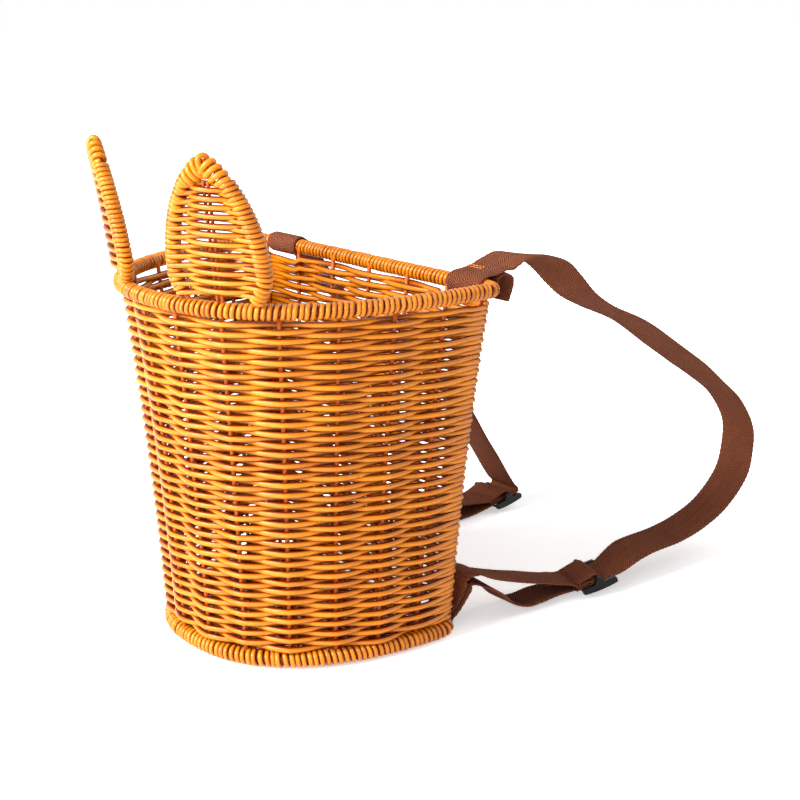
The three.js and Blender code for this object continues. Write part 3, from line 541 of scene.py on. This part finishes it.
def make_floor():
    around = np.linspace(0, base.length, 400, endpoint=False)
    inside = base.at(around) - base.normal(around) * (BASE_R + 0.2)
    low_y, high_y = inside[:, 1].min(), BASE_BACK - BASE_R - 2.6
    mesh = Mesh()
    for row, y in enumerate(np.arange(low_y + 2.2, high_y, FLOOR_ROW_STEP)):
        crossing = inside[np.abs(inside[:, 1] - y) < 2.0]
        half = np.abs(crossing[:, 0]).max() - 0.5 if len(crossing) else 0
        if half < 8:
            continue
        x = np.linspace(-half, half, max(12, int(half)))
        z = FLOOR_MIDDLE + FLOOR_WAVE * np.cos(np.pi * x / WARP_STEP) * (1 if row % 2 else -1)
        points = np.column_stack([x, np.full_like(x, y) + 0.12 * rng.standard_normal(), z])
        # painted shade where each floor cane lies against the next
        mesh.tube(points, FLOOR_STRAND_R, 7, 0.15 + 0.6 * rng.random(), shade_crease=(0.0, 1.0, 0.0))
    for x in np.arange(-5, 6) * WARP_STEP:
        near = inside[np.abs(inside[:, 0] - x) < 3]
        front = near[:, 1].min() + 1.0
        line = np.array([[x, y, FLOOR_MIDDLE] for y in (front, (front + high_y) / 2, high_y)])
        mesh.tube(line, WARP_R, 8, 0.3)
    floor = mesh.build("woven_floor", cane, "basket")
    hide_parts("floor_panel")


# Ears


class Ear:
    """One ear's outline and its place on the rim; side is 1 for the right ear and -1 for the left."""

    def __init__(self, side):
        self.centre = rim.front / 2 - side * EAR_FROM_CENTRE
        out = rim.normal(self.centre)
        out = out * math.cos(EAR_TURN) - side * np.cross(UP, out) * math.sin(EAR_TURN)
        self.across = np.cross(out, UP)
        self.rise = UP * math.cos(EAR_LEAN) + out * math.sin(EAR_LEAN)
        self.face = out * math.cos(EAR_LEAN) - UP * math.sin(EAR_LEAN)
        seat = RIM_R - 1.0
        low = np.linspace(0, 1, 24, endpoint=False)
        width = EAR_BASE_WIDTH / 2 + (EAR_WIDTH - EAR_BASE_WIDTH) / 2 * np.sin(np.pi / 2 * low)
        lower = np.column_stack([width, seat + (EAR_WIDEST_AT - seat) * low])
        a = np.linspace(0, np.pi / 2, 80)
        width = EAR_WIDTH / 2 * np.maximum(np.cos(a), 0) ** EAR_POINTEDNESS
        upper = np.column_stack([width, EAR_WIDEST_AT + (EAR_HEIGHT - EAR_WIDEST_AT) * np.sin(a)])
        half = np.vstack([lower, upper])
        self.outline = np.vstack([half * [-1, 1], half[-2::-1]])
        self.along = np.concatenate([[0], np.cumsum(np.linalg.norm(np.diff(self.outline, axis=0), axis=1))])
        self.half_length = self.along[-1] / 2

    def place(self, w, h, d):
        w, h, d = np.broadcast_arrays(w, h, d)
        flat = rim.at(self.centre, RIM_Z) + w[..., None] * self.across
        foot = flat * (1 - EAR_CURL) + rim.at(self.centre + w, RIM_Z) * EAR_CURL
        return foot + h[..., None] * self.rise + d[..., None] * self.face

    def wire(self, s):
        """Place on the outline, and the direction out of the ear there, s from the left foot over the tip."""
        p = np.stack([np.interp(s, self.along, self.outline[:, i]) for i in (0, 1)], -1)
        q = np.stack([np.interp(np.asarray(s) + 0.3, self.along, self.outline[:, i]) for i in (0, 1)], -1)
        r = np.stack([np.interp(np.asarray(s) - 0.3, self.along, self.outline[:, i]) for i in (0, 1)], -1)
        t = unit(q - r)
        return p, np.stack([-t[..., 1], t[..., 0]], -1)

    def around(self, s, angle, inner=0.0):
        """A point of a strand that winds round the outline wire; inner draws the wrap towards the middle."""
        p, out = self.wire(s)
        reach = EAR_WIRE_R + EAR_STRAND_R
        c, d = np.cos(angle), np.sin(angle)
        offset = reach * c - inner * (1 - c) / 2
        return self.place(p[..., 0] + out[..., 0] * offset, p[..., 1] + out[..., 1] * offset, reach * d)


def make_ear(name, ear_side):
    ear = Ear(ear_side)
    frame_mesh = Mesh()
    s = np.linspace(0, ear.along[-1], 120)
    p, _ = ear.wire(s)
    frame_mesh.tube(ear.place(p[:, 0], p[:, 1], 0.0), EAR_WIRE_R, 8, 0.4)
    for w in (-SPINE_FROM_MIDDLE, SPINE_FROM_MIDDLE):
        h = np.linspace(RIM_R - 1, EAR_HEIGHT - 9, 20)
        frame_mesh.tube(ear.place(w + 0 * h, h, 0 * h), SPINE_R, 8, 0.4)
    wires = frame_mesh.build(f"{name}_wires", cane_dark, "basket")
    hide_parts(f"{name}_wire", f"{name}_spine")

    # The strand: at each edge it goes once and a half round the wire, then across to the other edge,
    # behind the spine on the way right and in front of it on the way back
    periods = int((ear.half_length - EAR_TIP - EAR_FIRST_TURN) / EAR_PITCH)
    noise = np.random.default_rng(len(name))
    line = []
    spine = SPINE_R + EAR_STRAND_R
    turn = np.linspace(-0.5, 2.5, 19) * np.pi
    previous = None
    for i in range(periods):
        for side in (-1, 1):
            start = EAR_FIRST_TURN + EAR_PITCH * (i + (0.5 if side > 0 else 0))
            start = start + 0.15 * noise.standard_normal()
            rise = start + (turn + 0.5 * np.pi) / (2 * np.pi) * EAR_PITCH / 2
            s = rise if side < 0 else ear.along[-1] - rise
            angle = turn if side < 0 else -turn
            wrap = ear.around(s, angle)
            if previous is not None:
                low, _ = ear.wire(previous)
                high, _ = ear.wire(s[0])
                behind = -spine if side > 0 else spine
                for share, depth in ((0.34, 0.75), (0.5, 1.0), (0.66, 0.75)):
                    across = low + (high - low) * share
                    line.append(ear.place(across[0], across[1], behind * depth))
            line.extend(wrap)
            previous = s[-1]
    points, _ = catmull(np.array(line), 1.1)
    tones = noise.random(14)
    tone = np.interp(np.arange(len(points)), np.linspace(0, len(points), len(tones)), tones)
    tone = TONE + TONE_SPREAD * tone
    mesh = Mesh()
    # painted shade where each row lies against the next
    mesh.tube(points, EAR_STRAND_R, 7, tone, shade_crease=ear.rise)

    # The tip: wraps that fan out from the middle
    edge = EAR_FIRST_TURN + EAR_PITCH * periods
    tip = np.linspace(edge, ear.along[-1] - edge, 168)
    angle = np.linspace(0, 2 * np.pi * TIP_WRAPS, len(tip))
    inner = TIP_REACH * np.sin(np.linspace(0.25, np.pi - 0.25, len(tip)))
    mesh.tube(ear.around(tip, angle, inner), EAR_STRAND_R, 7, 0.5)
    weave = mesh.build(f"{name}_weave", cane, "basket")
    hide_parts(f"{name}_weaver")


# Straps

ROUND_RIM = RIM_R + CLEARANCE + WEB_THICK / 2
ROUND_BASE = BASE_R + CLEARANCE + WEB_THICK / 2
UNDER_BASE = CLEARANCE + WEB_THICK / 2
LAYER = WEB_THICK + CLEARANCE
LOOP_TOP = BASE_Z + ROUND_BASE
RETURN_START = (BASE_BACK + 14, LOOP_TOP + 14.5)
RUN_END = (BASE_BACK + 16.5, LOOP_TOP + 9.5)
LOOP_SLACK = 0.6
BAR_R = 0.8
MIDDLE_BAR = 1.5 * WEB_THICK + 2 * CLEARANCE + BAR_R
BAR_WRAP = BAR_R + CLEARANCE + WEB_THICK / 2
TOP_LAYER = MIDDLE_BAR + BAR_WRAP


def arc_point(y, z, radius, degrees):
    a = math.radians(degrees)
    return (y + radius * math.cos(a), z + radius * math.sin(a))


# Two ways a strap leaves the rim, as (reach, height) from the middle of the rim's back: the sewn end,
# the layer below the rim up to the seam, and the layer over the rim, which ends at the seam
RAISED_SEAM = dict(
    end=[
        (SEAM_REACH + 4.2, ROUND_RIM + 1.4 - TAIL_DROP), (SEAM_REACH + 7.4, ROUND_RIM + 1.4 - TAIL_DROP / 2),
        (SEAM_REACH + 7.4, ROUND_RIM - 2.6), (SEAM_REACH + 4, ROUND_RIM - 0.2),
    ],
    below=[
        (SEAM_REACH, ROUND_RIM + 1.4 - LAYER), (ROUND_RIM + 3.4, ROUND_RIM - 1.6), (ROUND_RIM + 1.6, 0.6),
        arc_point(0, 0, ROUND_RIM, 315),
    ],
    over=[(SEAM_REACH - 4.5, ROUND_RIM + 0.5), (SEAM_REACH, ROUND_RIM + 1.4)],
)
HANGING_SEAM = dict(
    end=[
        (SEAM_REACH + 4.8, -ROUND_RIM - 4.2 - TAIL_DROP),
        (SEAM_REACH + 4.6, -ROUND_RIM - 4.2 - TAIL_DROP / 2),
        (SEAM_REACH + 4.2, -ROUND_RIM - 8.4),
    ],
    below=[
        (SEAM_REACH + 4.8 - 0.79 * LAYER, -ROUND_RIM - 4.2 - 0.61 * LAYER), (ROUND_RIM + 5, -ROUND_RIM - 2.2),
        (ROUND_RIM, -ROUND_RIM),
    ],
    over=[
        arc_point(0, 0, ROUND_RIM, 45), (ROUND_RIM + 5.4, 2.4 - ROUND_RIM),
        (SEAM_REACH + 4.8, -ROUND_RIM - 4.2),
    ],
)


def upper_loop(x, seam):
    """Sewn end, seam, below the rim, inside, over it and back to the seam, as [x, y, z, roll, width]."""
    around = [arc_point(0, 0, ROUND_RIM, a) for a in (270, 225, 180, 135, 90)]
    line = [*seam["end"], *seam["below"], *around, *seam["over"]]
    return [(x, RIM_BACK + y, RIM_Z + z, 0, WEB_WIDTH) for y, z in line]


def lower_loop(x):
    """From the end of the running layer round the base edge to the start of the returning layer."""
    narrow, outside = LOWER_LOOP_WIDTH, 4.9
    line = [
        (*RUN_END, WEB_WIDTH),
        (BASE_BACK + 13.5, LOOP_TOP + 4.6, WEB_WIDTH - 2),
        (BASE_BACK + 9.5, LOOP_TOP - 1, narrow + 2),
        (BASE_BACK + ROUND_BASE + 0.2, BASE_Z + 0.5, narrow),
        (BASE_BACK + ROUND_BASE, UNDER_BASE + 2, narrow),
        (BASE_BACK + ROUND_BASE - 2, UNDER_BASE, narrow),
        (BASE_BACK - LOOP_SLACK - ROUND_BASE + 2, UNDER_BASE, narrow),
        (BASE_BACK - LOOP_SLACK - ROUND_BASE, UNDER_BASE + 2, narrow),
        (*arc_point(BASE_BACK - LOOP_SLACK, BASE_Z, ROUND_BASE, 180), narrow),
        (*arc_point(BASE_BACK - LOOP_SLACK, BASE_Z, ROUND_BASE, 135), narrow),
        (BASE_BACK, LOOP_TOP, narrow),
        (BASE_BACK + outside, LOOP_TOP, narrow),
        (BASE_BACK + 9, LOOP_TOP + 4, narrow + 2),
        (BASE_BACK + 12, LOOP_TOP + 9.5, WEB_WIDTH - 2),
        (*RETURN_START, WEB_WIDTH),
    ]
    return [(x, y, z, 0, width) for y, z, width in line]


def across_from(tangent, roll):
    """The direction across webbing; the roll lifts the +X edge where the webbing runs outwards."""
    across = unit(np.array([1.0, 0, 0]) - tangent * tangent[..., :1])
    return across * np.cos(roll)[..., None] - np.cross(tangent, across) * np.sin(roll)[..., None]


def ribbon(points, material, name, held=None, step=1.6, columns=14):
    """Webbing along points [x, y, z, roll, width]: two faces with a fine rolled edge, and UVs in millimetres.

    held is a point's number and the direction across the webbing from there on.
    """
    points = np.array(points, float)
    line, place = catmull(points[:, :3], step)
    index = np.arange(len(points))
    roll = np.radians(np.interp(place, index, points[:, 3]))
    width = np.interp(place, index, points[:, 4])
    tangent = unit(np.gradient(line, axis=0))
    across = across_from(tangent, roll)
    if held:
        share = np.clip(place - held[0] + 1, 0, 1)[:, None]
        across = across * (1 - share) + held[1] * share
        across = unit(across - tangent * np.sum(across * tangent, axis=1, keepdims=True))
    thick = np.cross(tangent, across)
    along = np.concatenate([[0], np.cumsum(np.linalg.norm(np.diff(line, axis=0), axis=1))])
    u = np.linspace(-1, 1, columns + 1)
    section_x = np.concatenate([u, u[::-1]])
    edge = np.clip((1 - np.abs(u)) / 0.06, 0, 1) ** 0.5 * 0.55 + 0.45
    section_t = np.concatenate([edge, -edge[::-1]])
    teeth = 0.16 * np.where(np.arange(len(line)) % 2, 1, -1)
    sides = len(section_x)
    verts = []
    for i in range(len(line)):
        half = width[i] / 2 + teeth[i] * (np.abs(section_x) > 0.99)
        face = np.outer(section_t * WEB_THICK / 2, thick[i])
        verts.append(line[i] + np.outer(section_x * half, across[i]) + face)
    verts = np.array(verts)
    mesh = Mesh()
    mesh.skin(verts, False, 0.5, along)
    uv, k = np.array(mesh.uv), 0
    place_across = np.concatenate([(u + 1) / 2 * WEB_WIDTH, (u[::-1] + 1) / 2 * WEB_WIDTH])
    for i in range(len(line) - 1):
        for j in range(sides):
            nxt = (j + 1) % sides
            uv[k : k + 4, 0] = place_across[[j, nxt, nxt, j]]
            k += 4
    mesh.uv = uv
    obj = mesh.build(name, material)
    return obj


class Slider:
    """A slider's place and directions: along the webbing, across it, and off its face."""

    def __init__(self, side, reach, x, far, z, yaw, slope, roll, straight, join, follows):
        slope, yaw, roll = math.radians(slope), side * math.radians(yaw), side * math.radians(roll)
        self.along = np.array([
            math.sin(yaw) * math.cos(slope), math.cos(yaw) * math.cos(slope), math.sin(slope),
        ])
        self.across = across_from(self.along, np.array(roll))
        self.off = np.cross(self.across, self.along)
        self.seat = np.array([side * (UPPER_LOOP_X + x), RIM_BACK + far * reach, z])
        self.roll, self.straight, self.join, self.follows = math.degrees(roll), straight, join, follows

    def local(self, y, z):
        return self.seat + self.along * y + self.off * z


def strap_points(side, seam, reach, drop, slider, lower_run, return_run):
    """The whole webbing of one strap, in order, and where its last stretch to the slider begins."""
    x, low_x = side * UPPER_LOOP_X, side * LOWER_LOOP_X

    def low(w, far, z, roll=0):
        px, y = low_x + (slider.seat[0] - low_x) * w, BASE_BACK + (slider.seat[1] - BASE_BACK) * far
        return (px, y, z, side * roll, WEB_WIDTH)

    points = upper_loop(x, seam)
    (y0, z0), (y1, z1) = seam["over"][-2:]
    away = 3 / math.hypot(y1 - y0, z1 - z0)
    points += [(x, RIM_BACK + y1 + (y1 - y0) * away, RIM_Z + z1 + (z1 - z0) * away, 0, WEB_WIDTH)]
    points += [
        (x + side * dx, RIM_BACK + far * reach, z * BODY_HEIGHT, side * roll, WEB_WIDTH)
        for dx, far, z, roll in drop
    ]
    points += [(*slider.local(y, 0), -slider.roll, WEB_WIDTH) for y in slider.straight]
    points += [low(*point) for point in lower_run]
    points += [(low_x, RUN_END[0] + 0.54 * 4, RUN_END[1] + 0.84 * 4, 0, WEB_WIDTH)]
    points += lower_loop(low_x)
    points += [(low_x, RETURN_START[0] + 0.8, RETURN_START[1] + 2.4, 0, WEB_WIDTH)]
    to_slider = len(points) + slider.join
    points += [low(*point) for point in return_run]
    end = [(-14, TOP_LAYER - 1.7), (-6, TOP_LAYER - 0.5)]
    end += [arc_point(0, MIDDLE_BAR, BAR_WRAP, a) for a in (90, 45, 0, -45, -90)]
    end += [(-5, MIDDLE_BAR - BAR_WRAP + 0.1), (-13, MIDDLE_BAR - BAR_WRAP + 0.3)]
    points += [(*slider.local(y, z), 0, WEB_WIDTH) for y, z in end]
    return points, to_slider


def stitches(mesh, middle, across, out, width, share=1.0):
    """A row of short stitches across a share of the webbing, on the face that out points from."""
    stitch = 2.4
    count = int(width / stitch)
    for k in range(round(count * share)):
        a = width * ((k + 0.12) / count - 0.5)
        b = width * ((k + 0.88) / count - 0.5)
        shape = [(a, -0.25), (a + 0.25, 0.12), ((a + b) / 2, 0.2), (b - 0.25, 0.12), (b, -0.25)]
        line = [middle + across * along + out * lift for along, lift in shape]
        mesh.tube(line, 0.24, 6, 0.3 + 0.4 * rng.random(), side=np.cross(across, out))


def make_slider(name, slider):
    """Two slim rails and three bars with rounded edges, at the CAD slider's place."""
    bm = bmesh.new()
    inner, rail, length, edge = WEB_WIDTH / 2 + 0.6, 3.0, 22.0, 0.5
    bar_sides = 16
    outer_y = length / 2 - edge - BAR_R
    outer_z = -WEB_THICK / 2 - CLEARANCE - BAR_R
    rise = BAR_R + edge
    low, level, top = outer_z - rise, WEB_THICK / 2, MIDDLE_BAR + rise
    right_half = [(outer_y * t, low - 0.6 * (1 - t * t)) for t in np.linspace(0, 1, 9)]
    right_half += [(outer_y + 0.8 * rise, low + 0.25), (outer_y + rise, outer_z)]
    right_half += [(outer_y + 0.8 * rise, level - 0.35), (outer_y, level)]
    for t in np.linspace(0, 1, 9):
        y = (1 - t) ** 3 * 3 * rise + 3 * t * (1 - t) ** 2 * 1.8 * rise + 3 * t * t * (1 - t) * 1.6 * rise
        right_half.append((y, level + (top - level) * (3 * t * t - 2 * t**3)))
    profile = right_half + [(-y, z) for y, z in right_half[-2:0:-1]]
    for start in (inner, -inner - rail):
        rings = [[bm.verts.new((x, y, z)) for y, z in profile] for x in (start, start + rail)]
        bm.faces.new(rings[0])
        bm.faces.new(list(reversed(rings[1])))
        for i in range(len(profile)):
            k = (i + 1) % len(profile)
            bm.faces.new((rings[0][k], rings[0][i], rings[1][i], rings[1][k]))
    for y, z in ((-outer_y, outer_z), (0, MIDDLE_BAR), (outer_y, outer_z)):
        rings = []
        for x in (-inner - 0.4, inner + 0.4):
            angles = 2 * np.pi * np.arange(bar_sides) / bar_sides
            ring = [(x, y + BAR_R * math.cos(a), z + BAR_R * math.sin(a)) for a in angles]
            rings.append([bm.verts.new(corner) for corner in ring])
        for i in range(bar_sides):
            k = (i + 1) % bar_sides
            bm.faces.new((rings[0][i], rings[1][i], rings[1][k], rings[0][k]))
        bm.faces.new(list(reversed(rings[0])))
        bm.faces.new(rings[1])
    bmesh.ops.recalc_face_normals(bm, faces=bm.faces)
    bm.transform(Matrix.Scale(MM, 4))
    mesh = bpy.data.meshes.new(name)
    bm.to_mesh(mesh)
    bm.free()
    mesh.materials.append(plastic)
    obj = bpy.data.objects.new(f"{name}_body", mesh)
    bpy.context.scene.collection.objects.link(obj)
    bevel = obj.modifiers.new("bevel", "BEVEL")
    bevel.width, bevel.segments, bevel.limit_method = 0.0006, 3, "ANGLE"
    turn = Matrix(np.column_stack([slider.across, slider.along, slider.off]).tolist()).to_4x4()
    mesh.transform(Matrix.Translation(Vector(slider.seat) * MM) @ turn)
    for polygon in mesh.polygons:
        polygon.use_smooth = len(polygon.vertices) == 4
    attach(obj, name)
    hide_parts(name)


def make_strap(word, side, seam, reach, drop, slider, lower_run, return_run):
    name = f"strap_{word}"
    slider = Slider(side, reach, **slider)
    points, to_slider = strap_points(side, seam, reach, drop, slider, lower_run, return_run)
    main = ribbon(points[: to_slider + 1], web, f"{name}_webbing")
    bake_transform(main)
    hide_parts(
        *[f"{name}_{part}" for part in ("upper_loop", "neck", "shoulder", "lower_run", "lower_loop")]
    )
    held = (len(return_run) - slider.join, slider.across)
    tail = ribbon(points[to_slider:], web, f"{name}_sewn_end", held)
    y0, y1 = slider.follows
    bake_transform(tail)
    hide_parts(f"{name}_return")

    rows = Mesh()
    (y0, z0), (y1, z1) = seam["over"][-2:]
    last = np.array([side * UPPER_LOOP_X, RIM_BACK + y1, RIM_Z + z1])
    way = unit([0, y1 - y0, z1 - z0])
    across = np.array([1.0, 0, 0])
    off = np.cross(across, way)
    for back in (0.6, 2.6):
        stitches(rows, last - way * back + off * WEB_THICK / 2, side * across, off, WEB_WIDTH - 1, SEAM_SHARE)
    sewn = rows.build(f"{name}_stitches", thread, "basket")

    ends = Mesh()
    for y in (-10.2, -12):
        level = TOP_LAYER - 0.5 + 0.15 * (y + 6) + WEB_THICK / 2
        stitches(ends, slider.local(y, level), slider.across, slider.off, WEB_WIDTH - 1)
    hem = ends.build(f"{name}_end_stitches", dark_thread, f"slider_{word}")
    make_slider(f"slider_{word}", slider)


# On the way down: (x from the upper loop, share of the reach, share of the basket's height, roll).
# Below: (share across, share along, height, roll), with both shares from the lower loop to the slider.
RIGHT_DROP = [
    (-0.1, 0.08, 1.018, -5), (0, 0.126, 1.036, -1), (0.2, 0.174, 1.03, 7), (0.2, 0.226, 1.009, 12),
    (0.3, 0.258, 0.987, 16), (0.4, 0.298, 0.945, 16), (0.5, 0.346, 0.896, 12), (0.7, 0.408, 0.854, 8),
    (0.8, 0.536, 0.787, 7), (0.9, 0.667, 0.69, 9), (0.8, 0.769, 0.614, 9), (0.8, 0.849, 0.549, 3),
    (1, 0.933, 0.473, -1), (1.5, 0.992, 0.369, -4), (2.5, 0.988, 0.293, -4), (3.9, 0.961, 0.224, -3),
    (5.2, 0.874, 0.147, -2), (6.1, 0.776, 0.11, 1), (6.6, 0.686, 0.095, 3), (6.8, 0.541, 0.088, 4),
]
LEFT_DROP = [
    (-0.4, 0.129, 0.885, 0), (-1.6, 0.201, 0.81, 0), (-4, 0.332, 0.718, 0), (-7, 0.481, 0.615, 0),
    (-9.5, 0.618, 0.5, 0), (-11.5, 0.737, 0.379, 0), (-13, 0.826, 0.256, 0), (-14.2, 0.876, 0.19, 0),
    (-14.8, 0.936, 0.109, 0), (-15.2, 0.965, 0.074, 0), (-15.25, 0.981, 0.061, 0), (-15.25, 0.984, 0.051, 0),
]
RIGHT_SLIDER = dict(
    x=1.25, far=0.416, z=7, yaw=21, slope=15, roll=7,
    straight=(11, 0, -11, -16), join=4, follows=(0.129, 0.146),
)
LEFT_SLIDER = dict(
    x=-15.25, far=0.918, z=6.8, yaw=0, slope=10, roll=0,
    straight=(9, 5, 0, -11, -19), join=4, follows=(0.155, 0.204),
)
RIGHT_RUN = [
    (0.63, 0.7, 3.4, -6), (0.582, 0.586, 2.4, -6), (0.522, 0.501, 2.8, -3), (0.432, 0.43, 6.2, 2),
    (0.325, 0.35, 14.5, 5), (0.164, 0.265, 20.2, 5),
]
LEFT_RUN = [
    (1, 0.815, 2), (1, 0.632, 1.5), (1, 0.45, 2.6), (1, 0.316, 7.6), (1, 0.219, 15.6), (1, 0.158, 21.6),
]
RIGHT_RETURN = [
    (0.05, 0.158, 28.3), (0.158, 0.227, 27.4), (0.343, 0.293, 24.4), (0.498, 0.463, 18.6),
    (0.594, 0.605, 14.6), (0.654, 0.712, 11.2), (0.677, 0.799, 8.6),
]
LEFT_RETURN = [
    (1, 0.102, 28.3), (1, 0.143, 27.2), (1, 0.207, 23.8), (1, 0.359, 18.6),
    (1, 0.571, 14), (1, 0.754, 11), (1, 0.851, 9),
]

# Camera, light and floor


def make_camera():
    azimuth, elevation = math.radians(49.09), math.radians(15.73)
    level = math.cos(elevation)
    back = Vector((math.sin(azimuth) * level, -math.cos(azimuth) * level, math.sin(elevation)))
    data = bpy.data.cameras.new("camera")
    data.lens, data.sensor_width = 72, 36
    data.clip_start, data.clip_end = 0.05, 20
    camera = bpy.data.objects.new("camera", data)
    camera.location = Vector((0.6582, -0.48495, 0.3547))
    camera.rotation_euler = back.to_track_quat("Z", "Y").to_euler()
    bpy.context.scene.collection.objects.link(camera)
    bpy.context.scene.camera = camera


def seen_directly(tree):
    """1 for rays from the camera, mirrored and refracted ones, 0 for light that falls on the object."""
    path = tree.nodes.new("ShaderNodeLightPath")
    seen = path.outputs["Is Camera Ray"]
    for name in ("Is Glossy Ray", "Is Transmission Ray"):
        both = tree.nodes.new("ShaderNodeMath")
        both.operation = "MAXIMUM"
        tree.links.new(seen, both.inputs[0])
        tree.links.new(path.outputs[name], both.inputs[1])
        seen = both.outputs[0]
    return seen


def make_stage():
    scene = bpy.context.scene
    scene.view_settings.view_transform = "Standard"
    world = bpy.data.worlds.new("studio")
    scene.world = world
    world.use_nodes = True
    tree = world.node_tree
    mix = tree.nodes.new("ShaderNodeMix")
    mix.inputs["A"].default_value = 0.2
    mix.inputs["B"].default_value = 1.0
    tree.links.new(seen_directly(tree), mix.inputs["Factor"])
    background = tree.nodes["Background"]
    background.inputs["Color"].default_value = (1, 1, 1, 1)
    tree.links.new(mix.outputs["Result"], background.inputs["Strength"])
    for name, place, size, energy in (
        ("key", (-0.24, -1.25, 0.95), 0.8, 50),
        ("fill", (0.75, -1.0, 0.45), 0.8, 7),
        ("back", (0.3, 1.15, 1.0), 1.2, 9),
    ):
        data = bpy.data.lights.new(name, "AREA")
        data.energy, data.size = energy, size
        lamp = bpy.data.objects.new(name, data)
        lamp.location = place
        lamp.rotation_euler = (Vector(place) - Vector((0, 0, 0.1))).to_track_quat("Z", "Y").to_euler()
        scene.collection.objects.link(lamp)
    n = Nodes("studio_floor")
    n.shader.inputs["Base Color"].default_value = (0.93, 0.93, 0.93, 1)
    n.shader.inputs["Roughness"].default_value = 0.9
    place = n.add("ShaderNodeTexCoord").outputs["Object"]
    far = n.add("ShaderNodeVectorMath", operation="LENGTH")
    n.link(place, far.inputs[0])
    fade = n.add("ShaderNodeMapRange", interpolation_type="SMOOTHSTEP")
    n.link(far.outputs["Value"], fade.inputs["Value"])
    for socket, value in zip(("From Min", "From Max", "To Min", "To Max"), (0.25, 0.9, 0.5, 1.2)):
        fade.inputs[socket].default_value = value
    n.shader.inputs["Emission Color"].default_value = (1, 1, 1, 1)
    glow = n.math("MULTIPLY", seen_directly(n.tree), fade.outputs["Result"])
    n.link(glow, n.shader.inputs["Emission Strength"])
    mesh = bpy.data.meshes.new("floor")
    mesh.from_pydata([(-6, -6, 0), (6, -6, 0), (6, 6, 0), (-6, 6, 0)], [], [(0, 1, 2, 3)])
    mesh.materials.append(n.material)
    floor = bpy.data.objects.new("floor", mesh)
    floor.location.z = -0.0004
    scene.collection.objects.link(floor)


make_camera()
make_strap("right", 1, RAISED_SEAM, RIGHT_REACH, RIGHT_DROP, RIGHT_SLIDER, RIGHT_RUN, RIGHT_RETURN)
make_strap("left", -1, HANGING_SEAM, LEFT_REACH, LEFT_DROP, LEFT_SLIDER, LEFT_RUN, LEFT_RETURN)
make_stakes()
make_wall()
make_bindings()
make_floor()
make_ear("ear_right", 1)
make_ear("ear_left", -1)
make_stage()
